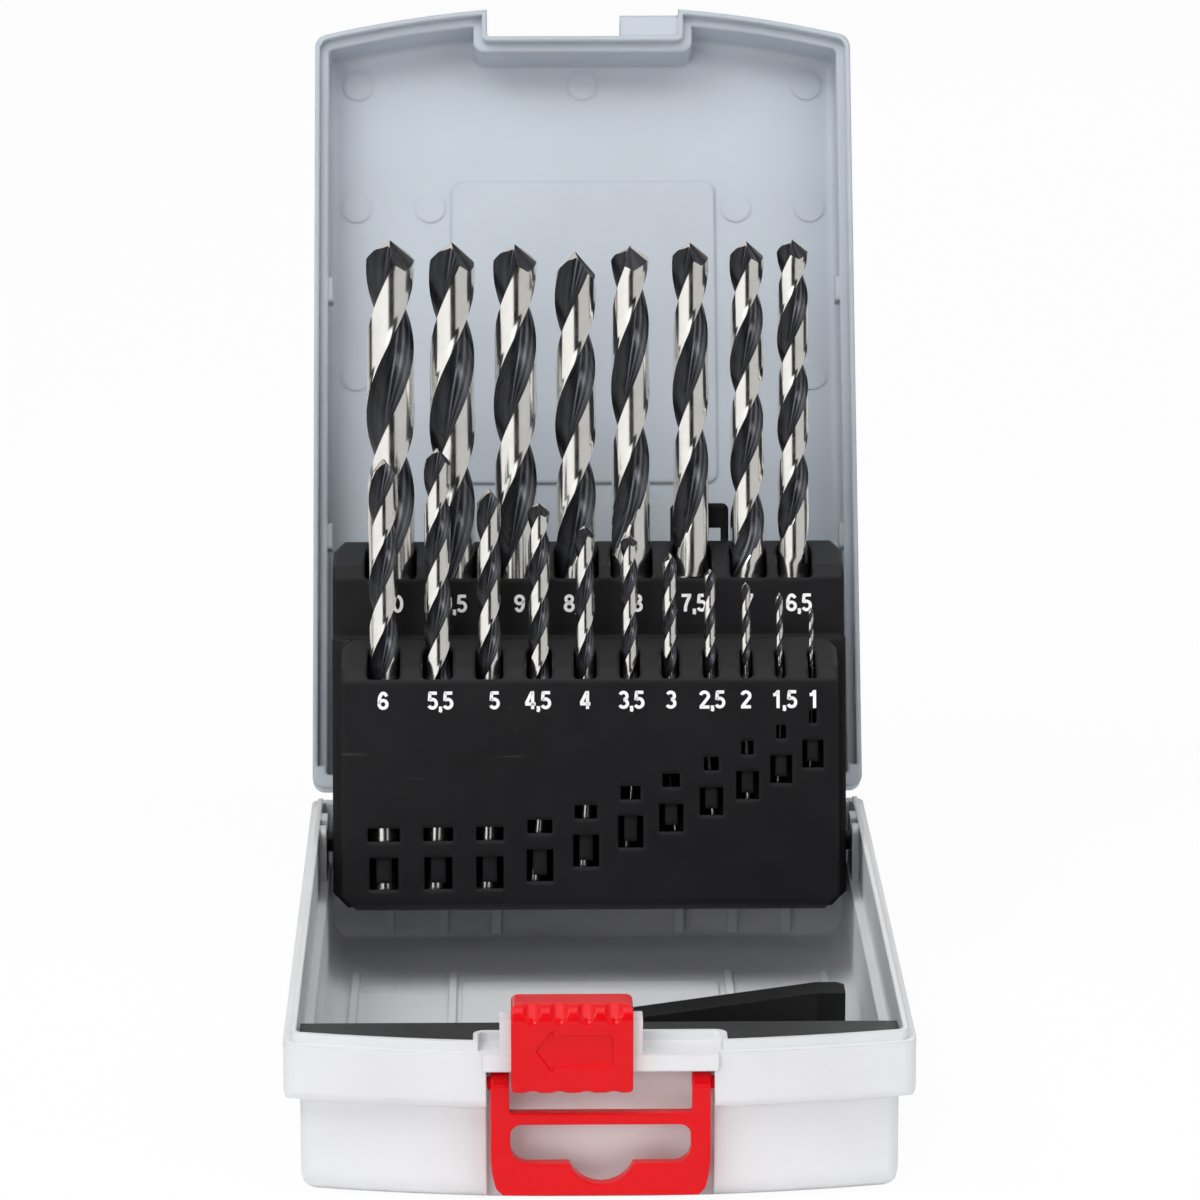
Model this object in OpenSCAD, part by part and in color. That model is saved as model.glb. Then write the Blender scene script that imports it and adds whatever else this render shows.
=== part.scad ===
// Case for nineteen twist drills: shallow base, hinged lid, swing-up drill holder,
// latch slider, fold-out hanger and a tip guard.
// Millimetres. X to the right, Y to the back, Z up. The origin is the centre of the
// base's footprint on the surface it stands on. The case is stored open.

/* [Case] */
// Width over the band of the base
case_w = 115; // [114:0.5:120]
// Distance from the origin to the back wall, and to the front arc's middle
half_depth = 85.35; // [85:0.05:87]
// Height of the band's top, where the lid rests
base_h = 29.3; // [29:0.1:29.8]
// Height of the closed case
closed_h = 44; // [43.5:0.5:50]
// Radius of the front's arc in plan
front_r = 240; // [200:10:320]
// Angle that the open lid leans back past upright
lid_lean = 25.2; // [20:0.2:27]
// Height of the band round the base
band_h = 10.7; // [9:0.1:12]
// Step from the band in to the lower body
band_step = 2.9; // [2:0.1:3.2]

/* [Front recess] */
// Half width of the recess for latch and hanger
recess_half = 20.6; // [20.4:0.1:22]
// Height of the rail that the slider runs on
rail_h = 3.2; // [3:0.1:3.4]
// Width of the latch slider
slider_w = 22; // [20:0.5:22]

/* [Holder] */
// Angle that the raised holder leans back
holder_lean = 13.65; // [12:0.05:14]
// Height of the front tier
tier1_h = 54.7; // [53:0.1:56]
// Height of the rear tier
tier2_h = 74.6; // [73:0.1:76]
// Depth of the holder
holder_d = 33; // [32.5:0.1:33.5]
// Radial clearance of a drill in its bore
bore_gap = 0.25; // [0.2:0.05:0.35]

/* [Drills] */
// Half of the angle of the drill point
point_half = 61; // [55:1:70]

/* [Hidden] */
$fn = 64;
arc_fn = 360;
eps = 0.02;
far = 40;
half_w = case_w / 2;
arc_y = front_r - half_depth;

// base walls
floor_t = 1.4;
wall_t = 1.35;
band_wall = 2.4;
ledge_z = 20;
tongue_in = 1.4;
tongue_h = 1.8;
tongue_end = half_depth - 5.35;
front_corner = 3;
rear_corner = 2.5;
bottom_r = 4.5;
band_r = 1.8;
// the front corners stand this far past the arc before it trims them
corner_out = 0.02;
wedge = 1.05;
recess_y = -half_depth + 6.85;
recess_wall = 1.7;
cheek_t = 1.6;
in_low = band_step + wall_t;

// ribs, panel and marks on the base's floor, lugs on its back wall
rib_x = [-47.8, -27.9, 28.2, 47.8];
rib_y = half_depth - 71.35;
rib_len = 38;
rib_w = 1.6;
rib_h = 0.8;
panel_y = rib_y + 16;
panel_half = [26, 16];
panel_h = 0.5;
panel_r = 2.5;
rear_lug_x = [-41.5, -30.3, -19.1, 19.1, 30.3, 41.5];
rear_lug_w = 2.1;
rear_lug_d = 2.2;
rear_lug_h = 18;
mark_r = 3.2;
mark_h = 0.2;
base_marks = [[-42.7, rib_y + 28], [41.8, rib_y + 30]];

// lid
lid_gap = 0.2;
lip_t = 1.05;
rebate_d = 2.1;
lid_wall = 2.9;
lid_top_t = 1.6;
lid_band = 5.2;
lid_step = 1.3;
lid_r = 3.2;
lid_in_r = 1.6;
lid_z = base_h + lid_gap;
lid_panel_y = -16.2;
lid_panel = [28.4, 33.4];
lid_mark_r = 3.25;
lid_marks = [[-48.6, -71.2], [48.6, -71.2], [0, -71.2], [-48.9, -43.8], [48.9, -43.8],
    [-33, -43.8], [33, -43.8], [-48.9, -6.5], [48.9, -6.5]];
lid_lug_y = [30.8, -23.1];
lid_lug = [1.2, 5.4, 4];
lid_angle = 90 + lid_lean;

// hinge: barrels behind the back walls, each lid barrel between two of the base
hinge_y = half_depth + 0.79;
hinge_z = base_h + 1.25;
barrel_r = 2.2;
barrel_clear = 0.35;
hinge_x = 35;
lid_barrel_w = 8;
base_barrel_w = 4;
barrel_gap = 0.3;
hinge_pin_r = 1.2;
hinge_pin_len = 3;
pin_fit = 0.06;
web_t = 1.2;
web_h = 6.2;
web_out = 1.9;
web_rise = 1.1;

// latch rail, slider and catch
rail_top = base_h;
rail_front = -half_depth;
rail_beam = 2.45;
shelf_t = 1.4;
guide_x0 = -18.2;
guide_x1 = 7.6;
guide_front = rail_front + 0.15;
guide_rear = guide_front + 4.6;
guide_h = 6.7;
slide_gap = 0.4;
slider_x0 = -16.15;
slider_t = 1.65;
slider_front = rail_front - slide_gap - slider_t;
slider_bottom = rail_top - rail_h - slide_gap - 3.2;
slider_top = rail_top + guide_h + slide_gap + 2.5;
slider_r = [1.1, 3];
slider_corner = 1.2;
hook_h = 6;
hook_in = 0.5;
hook_t = 1.1;
hook_rear = rail_front + rail_beam + slide_gap + hook_t;
clip_w = 6.8;
clip_gap = 0.3;
catch_t = 1.1;
catch_drop = 2.6;
arrow = [3.05, 13.8, 4.3, 2.9];
arrow_x = 4.5;
arrow_z = 8.1;
arrow_depth = 0.55;
// grip grooves: radius, distance of the axis before the face, lower end, turn to the top
groove = [2.2, 1.6, 1.7, 1.25];
notch_drop = 1.7;
groove_x = [-7.2, -2.3, 2.6, 7.5];
tab_x0 = guide_x1 + slide_gap;
tab_front = rail_front + 2.15;
tab_z0 = rail_top + 0.7;
tab_z1 = rail_top + guide_h - 0.4;

// hanger
hang_y = rail_front + 2.75;
hang_drop = 6.1;
hang_z = base_h - hang_drop;
hang_stub_r = 1.15;
hang_fit = 0.06;
hang_half = recess_half - 0.7;
arm_in = 16.5;
hang_front = rail_front + 0.15;
hang_t = 2.8;
hang_bottom = 2.5;
bar_top = hang_z - 5.05;
slot_top = bar_top - 2.2;
slot_bottom = slot_top - 7.4;
knuckle_r = 2;
hang_side_r = 20.7;
hang_side_z = 10;
hang_foot = 4;
hang_corner = 3.2;
hang_slot_r = [2, 3.2];
notch_x = 0.1;
notch_z = slot_bottom + 2.3;
notch_r = 6.2;

// holder, in its own frame: X, depth from the front face, height from the bottom
piv_y = half_depth - 23.35;
piv_z = 27;
piv_d = 22.3;
piv_h = 13.1;
trunnion_r = 2.1;
trunnion_fit = 0.07;
holder_gap = 0.95;
holder_half = half_w - in_low - holder_gap;
front_half = holder_half - 2.15;
tier_d = 18.2;
split_d = 13.5;
tier1_edge = tier1_h - 8.4;
tier2_edge = tier2_h - 7.5;
slope_d = 11;
row1_d = 6.5;
row2_d = 26;
foot_r = 2;
foot_chamfer = 3;
slot_extra = 0.7;
slot_r = 0.8;
seat_gap = 0.1;
clip_x0 = 17.2;
clip_x1 = 29.2;
clip_z0 = tier2_h + 2.7;
clip_z1 = tier2_h + 7.8;
clip_t = 1.8;
lug_top = 31;
lug_y0 = piv_y - 6;
lug_y1 = piv_y + 8.3;
throat = 1.95;

// drills: diameter, place across the holder, seat height, length, flute length, phase,
// rise of a flute in one turn in drill diameters
rear_row = [
    [10, -40.5, 3.9, 133, 87, 20, 6.1],
    [9.5, -27.8, 11.4, 125, 81, 64, 6.4],
    [9, -14.8, 11.0, 125, 81, 16, 6.3],
    [8.5, -2.4, 17.2, 117, 75, 50, 6.2],
    [8, 8.9, 18.5, 117, 64, 98, 7.1],
    [7.5, 21.3, 27.2, 109, 69, 58, 7.0],
    [7, 32.9, 27.4, 109, 69, 118, 5.9],
    [6.5, 42.4, 35.8, 101, 67, 45, 5.7]];
front_row = [
    [6, -41.65, 1.6, 89.6, 54, 34, 5.9],
    [5.5, -30.7, 1.6, 91.8, 56, 110, 5.8],
    [5, -20.3, 1.6, 83.5, 50, 148, 5.9],
    [4.5, -10.2, 2.3, 80, 47, 48, 5.7],
    [4, -0.9, 2.6, 75, 43, 134, 6.6],
    [3.5, 8.1, 5.6, 70, 39, 56, 6.2],
    [3, 16.3, 10.9, 61, 33, 146, 6.1],
    [2.5, 24.4, 11.7, 57, 30, 100, 6.3],
    [2, 31.7, 17.0, 49, 24, 112, 6.7],
    [1.5, 38.5, 23.8, 40, 18, 110, 6.4],
    [1, 44.9, 26.7, 34, 12, 154, 6.7]];
// windows in the front face: height of the lower window's bottom edge, per front drill
window_h = [4.2, 4.3, 4.4, 5.8, 8.7, 12.5, 15.7, 19, 22.2, 25.4, 28.5];
small_drill = 3.2;
window_tall = [6.45, 5.6];
window_lift = [9.7, 9];
upper_window_h = 2.7;
finger_d = 0.7;
finger_t = 1.3;

// tip guard
guard_gap = 0.3;
guard_top = base_h - 0.9;
guard_rear = -half_depth + 21.95;
guard_floor = 1;
bar_top_z = 12.3;
bar_slope = 0.428;
bar_y = piv_y - 69.5;
bar_w = 7;
bar_half = 49.5;
bar_flat = 44;
bar_chamfer = 1.4;
foot_in = 3;
guard_z = floor_t + 0.3;

module white() color([0.93, 0.93, 0.94]) children();
module grey() color([0.75, 0.78, 0.82]) children();
module red() color([0.88, 0.1, 0.09]) children();
module black() color([0.05, 0.05, 0.055]) children();
module steel() color([0.72, 0.72, 0.73]) children();

// ---- shared outlines ----

// Plan of the case set in by i, with front corners of radius r
module plan(i, r) {
    big = front_r - i;
    w = half_w - i;
    cx = w - r;
    cy = arc_y - sqrt(pow(big - r, 2) - cx * cx) - corner_out;
    out_y = arc_y - wedge * (arc_y - cy);
    back = half_depth - i;
    rb = max(rear_corner - i, 0.6);
    intersection() {
        translate([0, arc_y]) circle(r = big, $fn = arc_fn);
        union() {
            polygon([[-w, cy], [-cx, cy], [-wedge * cx, out_y], [wedge * cx, out_y], [cx, cy],
                [w, cy], [w, back - rb], [w - rb, back], [rb - w, back], [-w, back - rb]]);
            for (s = [-1, 1]) {
                translate([s * cx, cy]) circle(r = r);
                translate([s * (w - rb), back - rb]) circle(r = rb);
            }
        }
    }
}

// Plan of the recess grown by i, with rounded rear corners
module recess_plan(i, r) {
    w = recess_half + i;
    y1 = recess_y + i;
    translate([-w, -half_depth - far]) square([2 * w, y1 - r + half_depth + far]);
    translate([-(w - r), -half_depth - far]) square([2 * (w - r), y1 + half_depth + far]);
    for (s = [-1, 1]) translate([s * (w - r), y1 - r]) circle(r = r);
}

// Plan of the case with the recess cut out, set in by i
module shell_plan(i) {
    difference() {
        plan(i, max(front_corner - i * 0.6, 0.8));
        recess_plan(i, 0.8 + i * 0.6);
    }
}

// Solid of the plan set in by i, h tall, its bottom edges rounded by r
module pan(i, h, r, corner) {
    w = half_w - i;
    intersection() {
        linear_extrude(height = h) plan(i, corner);
        translate([0, half_depth, 0]) rotate([90, 0, 0])
            linear_extrude(height = 2 * half_depth + far) {
                translate([-w, r]) square([2 * w, h - r]);
                translate([-(w - r), 0]) square([2 * (w - r), h]);
                for (s = [-1, 1]) translate([s * (w - r), r]) circle(r = r);
            }
        translate([0, arc_y, 0]) rotate_extrude($fn = arc_fn) {
            translate([0, r]) square([front_r - i, h - r]);
            square([front_r - i - r, h]);
            translate([front_r - i - r, r]) circle(r = r);
        }
        translate([-half_w, 0, 0]) rotate([90, 0, 90])
            linear_extrude(height = case_w) {
                translate([-half_depth - far, r])
                    square([2 * half_depth + far - i, h - r]);
                translate([-half_depth - far, 0])
                    square([2 * half_depth + far - i - r, h]);
                translate([half_depth - i - r, r]) circle(r = r);
            }
    }
}

// ---- hinge ----

// Cylinder along X about the hinge's axis
module hinge_bar(x0, len, r) {
    translate([x0, hinge_y, hinge_z]) rotate([0, 90, 0]) cylinder(r = r, h = len);
}

// Barrel with a web that runs to the wall, dir -1 down to the base and 1 up to the lid
module barrel(x0, len, dir) {
    hinge_bar(x0, len, barrel_r);
    wall_y = half_depth - web_t;
    translate([x0, 0, 0]) rotate([90, 0, 90]) linear_extrude(height = len)
        polygon([[wall_y, hinge_z], [wall_y, hinge_z + dir * web_h],
            [half_depth, hinge_z + dir * web_h], [hinge_y + web_out, hinge_z + dir * web_rise],
            [hinge_y, hinge_z]]);
}

// ---- base ----

module rounded_slab(x, y, h, r) {
    linear_extrude(height = h) {
        translate([-x, -y + r]) square([2 * x, 2 * (y - r)]);
        translate([-(x - r), -y]) square([2 * (x - r), 2 * y]);
        for (sx = [-1, 1], sy = [-1, 1])
            translate([sx * (x - r), sy * (y - r)]) circle(r = r);
    }
}

// Lugs on a side wall with the open bearing of the holder's trunnion between them
module holder_lugs(side) {
    x0 = half_w - in_low + 0.45;
    len = half_w - band_wall - x0 + 0.4;
    x = side > 0 ? x0 : -x0 - len;
    translate([x, 0, 0]) rotate([90, 0, 90]) linear_extrude(height = len)
        difference() {
            union() {
                translate([lug_y0, ledge_z - 0.5])
                    square([lug_y1 - lug_y0, lug_top - 1.4 - ledge_z + 0.5]);
                translate([lug_y0 + 1.4, ledge_z])
                    square([lug_y1 - lug_y0 - 2.8, lug_top - ledge_z]);
                for (y = [lug_y0 + 1.4, lug_y1 - 1.4])
                    translate([y, lug_top - 1.4]) circle(r = 1.4);
            }
            translate([piv_y, piv_z]) circle(r = trunnion_r + trunnion_fit);
            translate([piv_y - throat, piv_z]) square([2 * throat, far]);
        }
}

// Rail across the recess with the guide block that the slider embraces
module latch_rail() {
    w = recess_half + cheek_t / 2;
    translate([-w, rail_front, rail_top - rail_h]) cube([2 * w, rail_beam, rail_h]);
    translate([-w, rail_front + rail_beam - eps, rail_top - shelf_t])
        cube([2 * w, recess_y - rail_front - rail_beam + 0.5, shelf_t]);
    translate([guide_x0, guide_front, rail_top - 0.5])
        cube([guide_x1 - guide_x0, guide_rear - guide_front, guide_h + 0.5]);
}

module base_ribs() {
    for (x = rib_x)
        translate([x - rib_w / 2, rib_y, floor_t - eps]) cube([rib_w, rib_len, rib_h]);
    translate([0, panel_y, floor_t - eps])
        rounded_slab(panel_half[0], panel_half[1], panel_h, panel_r);
    for (x = rear_lug_x)
        translate([x - rear_lug_w / 2, half_depth - in_low + 0.6 - rear_lug_d, floor_t - eps])
            cube([rear_lug_w, rear_lug_d, rear_lug_h]);
    for (p = base_marks) translate([p[0], p[1], floor_t - eps]) cylinder(r = mark_r, h = mark_h);
}

module base_shell() white() {
    difference() {
        union() {
            difference() {
                union() {
                    pan(band_step, base_h, bottom_r, front_corner);
                    translate([0, 0, base_h - band_h]) pan(0, band_h, band_r, front_corner);
                }
                // lower hollow
                difference() {
                    translate([0, 0, floor_t])
                        pan(in_low, base_h, bottom_r - wall_t, front_corner - wall_t);
                    linear_extrude(height = far + base_h)
                        recess_plan(recess_wall, 0.6);
                }
                // upper hollow, above the ledge
                translate([0, 0, ledge_z]) linear_extrude(height = far)
                    shell_plan(band_wall);
                // recess
                translate([0, 0, -1]) linear_extrude(height = far + base_h) recess_plan(0, 0.5);
            }
            // tongue that the lid's lip closes round
            intersection() {
                translate([0, 0, base_h - 0.5]) linear_extrude(height = tongue_h + 0.5)
                    difference() {
                        shell_plan(tongue_in);
                        shell_plan(band_wall);
                    }
                translate([-half_w, -half_depth, 0])
                    cube([case_w, half_depth + tongue_end, 2 * base_h]);
            }
            latch_rail();
            base_ribs();
            for (s = [-1, 1]) holder_lugs(s);
            for (s = [-1, 1], t = [-1, 1])
                barrel(s * hinge_x + t * (lid_barrel_w / 2 + barrel_gap + base_barrel_w / 2)
                    - base_barrel_w / 2, base_barrel_w, -1);
        }
        // room for the lid's barrels, and the bores of their pins
        for (s = [-1, 1]) {
            hinge_bar(s * hinge_x - lid_barrel_w / 2 - barrel_gap,
                lid_barrel_w + 2 * barrel_gap, barrel_r + barrel_clear);
            hinge_bar(s * hinge_x - lid_barrel_w / 2 - hinge_pin_len - 0.3,
                lid_barrel_w + 2 * hinge_pin_len + 0.6, hinge_pin_r + pin_fit);
        }
        // bores of the hanger's stubs
        translate([-recess_half - 1.5, hang_y, hang_z]) rotate([0, 90, 0])
            cylinder(r = hang_stub_r + hang_fit, h = 2 * recess_half + 3);
    }
}

// ---- tip guard ----

module guard_bar_plan() {
    polygon([[-bar_half, bar_y - bar_half * bar_slope - bar_w],
        [bar_flat, bar_y + bar_flat * bar_slope - bar_w],
        [bar_half, bar_y + bar_flat * bar_slope - bar_w],
        [bar_half, bar_y + bar_flat * bar_slope - bar_chamfer],
        [bar_half - bar_chamfer, bar_y + bar_flat * bar_slope],
        [bar_flat, bar_y + bar_flat * bar_slope],
        [-bar_half, bar_y - bar_half * bar_slope]]);
}

module tip_guard() black() {
    gi = band_wall + guard_gap;
    low = in_low + guard_gap;
    // front block on the ledge
    translate([0, 0, ledge_z + 0.2]) linear_extrude(height = guard_top - ledge_z - 0.2)
        difference() {
            shell_plan(gi);
            translate([-half_w, guard_rear]) square([case_w, 2 * half_depth + far]);
        }
    // its foot and the floor plate that carries the bar
    translate([0, 0, guard_z]) linear_extrude(height = ledge_z - floor_t)
        difference() {
            intersection() {
                plan(low + foot_in, 1);
                translate([-half_w, -half_depth])
                    square([case_w, half_depth + guard_rear - 0.4]);
            }
            recess_plan(recess_wall + guard_gap + 1, 1.5);
        }
    plate = bar_half - 1;
    translate([0, 0, guard_z]) linear_extrude(height = guard_floor)
        polygon([[-plate, guard_rear - 2], [plate, guard_rear - 2],
            [plate, bar_y + bar_flat * bar_slope - bar_w / 2],
            [bar_flat, bar_y + bar_flat * bar_slope - bar_w / 2],
            [-plate, bar_y - plate * bar_slope - bar_w / 2]]);
    translate([0, 0, guard_z]) linear_extrude(height = bar_top_z - guard_z) guard_bar_plan();
}

// ---- lid, modelled closed and swung open ----

module lid_closed() {
    difference() {
        union() {
            difference() {
                union() {
                    translate([0, 0, lid_z]) linear_extrude(height = lid_band)
                        plan(0, front_corner);
                    translate([0, 0, closed_h]) mirror([0, 0, 1])
                        pan(lid_step, closed_h - lid_z, lid_r, front_corner - lid_step * 0.6);
                }
                difference() {
                    translate([0, 0, closed_h - lid_top_t]) mirror([0, 0, 1])
                        pan(lid_wall, far, lid_in_r, front_corner - lid_wall * 0.6);
                    linear_extrude(height = far + closed_h) recess_plan(lid_wall, 2.4);
                }
                // step that takes the base's tongue
                translate([0, 0, lid_z - far]) linear_extrude(height = far + rebate_d)
                    difference() {
                        shell_plan(lip_t);
                        translate([-half_w, tongue_end + 0.6]) square([case_w, far]);
                    }
                translate([0, 0, lid_z - 1]) linear_extrude(height = far) recess_plan(0, 0.8);
            }
            // catch tab
            translate([tab_x0, tab_front, tab_z0])
                cube([recess_half - tab_x0 + 0.5, recess_y - tab_front + 0.5, tab_z1 - tab_z0]);
            // raised panel and round marks on the inside of the top
            translate([0, lid_panel_y, closed_h - lid_top_t - panel_h])
                rounded_slab(lid_panel[0], lid_panel[1], panel_h + 0.1, panel_r);
            for (p = lid_marks)
                translate([p[0], p[1], closed_h - lid_top_t - 0.15])
                    cylinder(r = lid_mark_r, h = 0.3);
            // small lugs on the side walls
            for (s = [-1, 1], y = lid_lug_y)
                translate([s * (half_w - lid_wall - 0.4) - lid_lug[0] / 2, y - lid_lug[1] / 2,
                    lid_z + rebate_d + 0.3]) cube(lid_lug);
            for (s = [-1, 1]) barrel(s * hinge_x - lid_barrel_w / 2, lid_barrel_w, 1);
        }
        // room for the base's barrels
        for (s = [-1, 1], t = [-1, 1])
            hinge_bar(s * hinge_x + t * (lid_barrel_w / 2 + barrel_gap + base_barrel_w / 2)
                - base_barrel_w / 2 - barrel_gap, base_barrel_w + 2 * barrel_gap,
                barrel_r + barrel_clear);
    }
    // hinge pins
    for (s = [-1, 1])
        hinge_bar(s * hinge_x - lid_barrel_w / 2 - hinge_pin_len,
            lid_barrel_w + 2 * hinge_pin_len, hinge_pin_r);
}

module lid_shell() grey() {
    translate([0, hinge_y, hinge_z]) rotate([-lid_angle, 0, 0])
        translate([0, -hinge_y, -hinge_z]) lid_closed();
}

// ---- latch slider ----

module slider_profile() {
    r = slider_r[0];
    big = slider_r[1];
    rear = guide_rear + clip_gap + catch_t;
    difference() {
        union() {
            translate([slider_front, slider_bottom + r])
                square([hook_rear - slider_front, slider_top - slider_bottom - r - big]);
            translate([slider_front + r, slider_bottom])
                square([hook_rear - slider_front - r, slider_top - slider_bottom - big]);
            translate([slider_front + r, slider_bottom + r]) circle(r = r);
            translate([slider_front + big, slider_top - big]) circle(r = big);
            translate([slider_front + big, rail_top + guide_h + slide_gap])
                square([rear - slider_front - big, slider_top - rail_top - guide_h - slide_gap]);
        }
        // room for guide block, rail and shelf
        translate([slider_front + slider_t, rail_top - shelf_t - slide_gap])
            square([far, guide_h + shelf_t + 2 * slide_gap]);
        translate([slider_front + slider_t, rail_top - rail_h - slide_gap])
            square([rail_front + rail_beam + slide_gap - slider_front - slider_t, rail_h + 1]);
    }
}

// Front outline of the slider with rounded corners
module slider_outline() {
    r = slider_corner;
    translate([slider_x0 + r, slider_bottom])
        square([slider_w - 2 * r, slider_top - slider_bottom]);
    translate([slider_x0, slider_bottom + r])
        square([slider_w, slider_top - slider_bottom - 2 * r]);
    for (x = [slider_x0 + r, slider_x0 + slider_w - r], z = [slider_bottom + r, slider_top - r])
        translate([x, z]) circle(r = r);
}

// Grip groove that turns back over the rounded top edge
module grip_groove() {
    r = groove[0];
    translate([0, slider_front - groove[1], slider_top - groove[2]]) {
        sphere(r = r, $fn = 32);
        cylinder(r = r, h = groove[2] - groove[3], $fn = 32);
    }
    translate([0, slider_front - groove[1], slider_top - groove[3]]) {
        sphere(r = r, $fn = 32);
        rotate([-45, 0, 0]) cylinder(r = r, h = 9, $fn = 32);
    }
}

module latch_slider() red() {
    mid = slider_x0 + slider_w / 2;
    difference() {
        intersection() {
            union() {
                translate([slider_x0, 0, 0]) rotate([90, 0, 90])
                    linear_extrude(height = slider_w) slider_profile();
                // rear clip behind the guide block
                translate([slider_x0, guide_rear + clip_gap, rail_top + guide_h - catch_drop])
                    cube([clip_w, catch_t, slider_top - rail_top - guide_h + catch_drop - slider_corner]);
            }
            translate([0, far - half_depth, 0]) rotate([90, 0, 0])
                linear_extrude(height = 2 * far) slider_outline();
        }
        // the lower hook stops short of the hanger's arms
        for (x = [slider_x0 - 1, slider_x0 + slider_w - hook_in])
            translate([x, slider_front + slider_t, slider_bottom - 1])
                cube([hook_in + 1, far, hook_h]);
        // grip grooves at the top, notches in the lower edge
        for (x = groove_x) {
            translate([mid + x, 0, 0]) grip_groove();
            translate([mid + x, slider_front + slider_t, slider_bottom - notch_drop])
                rotate([90, 0, 0]) cylinder(r = groove[0], h = slider_t + 1, $fn = 32);
        }
        // arrow towards the open side
        translate([slider_x0 + arrow_x, slider_front + arrow_depth, slider_bottom + arrow_z])
            rotate([90, 0, 0]) linear_extrude(height = arrow_depth + 1)
                polygon([[0, 0], [arrow[0], arrow[2]], [arrow[0], arrow[3]],
                    [arrow[1], arrow[3]], [arrow[1], -arrow[3]],
                    [arrow[0], -arrow[3]], [arrow[0], -arrow[2]]]);
    }
}

// ---- hanger ----

module hanger_plan() {
    difference() {
        intersection() {
            translate([-hang_half, hang_bottom]) square([2 * hang_half, hang_z - hang_bottom]);
            union() {
                translate([-hang_half, hang_side_z]) square([2 * hang_half, hang_z]);
                intersection() {
                    translate([hang_half - hang_side_r, hang_side_z]) circle(r = hang_side_r);
                    translate([-hang_half + hang_side_r, hang_side_z]) circle(r = hang_side_r);
                }
                translate([-hang_foot, hang_bottom]) square([2 * hang_foot, hang_z]);
            }
            polygon([[-hang_half - 1, hang_z + 1], [-hang_half - 1, hang_bottom + hang_corner],
                [hang_corner - hang_half - 0.9, hang_bottom - 0.1],
                [hang_half - hang_corner + 0.9, hang_bottom - 0.1],
                [hang_half + 1, hang_bottom + hang_corner], [hang_half + 1, hang_z + 1]]);
        }
        // gap between the arms
        translate([-arm_in, bar_top]) square([2 * arm_in, far]);
        // slot with its half-round notch
        r1 = hang_slot_r[0];
        r2 = hang_slot_r[1];
        w = arm_in - 0.2;
        intersection() {
            union() {
                translate([-w, slot_bottom + r2])
                    square([2 * w, slot_top - slot_bottom - r1 - r2]);
                translate([-w + r1, slot_top - r1 - 1]) square([2 * (w - r1), r1 + 1]);
                translate([-w + r2, slot_bottom]) square([2 * (w - r2), r2 + 1]);
                for (s = [-1, 1]) {
                    translate([s * (w - r1), slot_top - r1]) circle(r = r1);
                    translate([s * (w - r2), slot_bottom + r2]) circle(r = r2);
                }
                translate([notch_x, notch_z]) circle(r = notch_r);
            }
            translate([-hang_half, 0]) square([2 * hang_half, slot_top]);
        }
    }
}

module hanger() red() {
    translate([0, hang_front + hang_t, 0]) rotate([90, 0, 0])
        linear_extrude(height = hang_t) hanger_plan();
    for (s = [-1, 1])
        translate([s * (arm_in + hang_half) / 2 - (hang_half - arm_in) / 2, hang_y, hang_z])
            rotate([0, 90, 0]) cylinder(r = knuckle_r, h = hang_half - arm_in);
    // stubs into the cheeks
    for (s = [-1, 1])
        translate([s * (hang_half + 0.9) - 1.1, hang_y, hang_z]) rotate([0, 90, 0])
            cylinder(r = hang_stub_r, h = 2.2);
}

// ---- holder ----

// Puts a shape from the holder's frame into place, raised
module in_holder() {
    a = holder_lean;
    translate([0, piv_y - piv_d * cos(a) - piv_h * sin(a),
        piv_z + piv_d * sin(a) - piv_h * cos(a)]) rotate([-a, 0, 0]) children();
}

module slot_cut(x, w, d0, d1, z0, z1) {
    translate([x, d1, 0]) rotate([90, 0, 0]) linear_extrude(height = d1 - d0) {
        translate([-w / 2, z0 + slot_r]) square([w, z1 - z0]);
        translate([-w / 2 + slot_r, z0]) square([w - 2 * slot_r, 2 * slot_r]);
        for (s = [-1, 1]) translate([s * (w / 2 - slot_r), z0 + slot_r]) circle(r = slot_r);
    }
}

module narrow_slot(x, w, d0, d1, z0, z1) {
    translate([x - w / 2, d0, z0]) cube([w, d1 - d0, z1 - z0]);
}

// Front tier's section: depth, height
module front_section() {
    difference() {
        polygon([[0, 0], [split_d + 1, 0], [split_d + 1, tier1_h], [slope_d, tier1_h],
            [2.2, tier1_edge + 2.6], [0, tier1_edge]]);
        difference() {
            translate([-1, -1]) square([foot_r + 1, foot_r + 1]);
            translate([foot_r, foot_r]) circle(r = foot_r);
        }
    }
}

module rear_section() {
    polygon([[split_d, 0], [holder_d, 0], [holder_d, tier2_h], [tier_d + slope_d, tier2_h],
        [tier_d + 2.2, tier2_edge + 2.4], [tier_d, tier2_edge], [tier_d, tier1_h],
        [split_d, tier1_h]]);
}

// Outline seen from the front: chamfered lower corners
module front_outline(w, h) {
    polygon([[-w, foot_chamfer], [-w + foot_chamfer, 0], [w - foot_chamfer, 0],
        [w, foot_chamfer], [w, h - 2.2], [w - 2.2, h], [-w + 2.2, h], [-w, h - 2.2]]);
}

module holder_body() {
    intersection() {
        translate([-front_half, 0, 0]) rotate([90, 0, 90])
            linear_extrude(height = 2 * front_half) front_section();
        translate([0, holder_d, 0]) rotate([90, 0, 0]) linear_extrude(height = far)
            front_outline(front_half, tier1_h);
    }
    intersection() {
        translate([-holder_half, 0, 0]) rotate([90, 0, 90])
            linear_extrude(height = 2 * holder_half) rear_section();
        translate([0, holder_d, 0]) rotate([90, 0, 0]) linear_extrude(height = far)
            front_outline(holder_half, tier2_h);
    }
}

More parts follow.
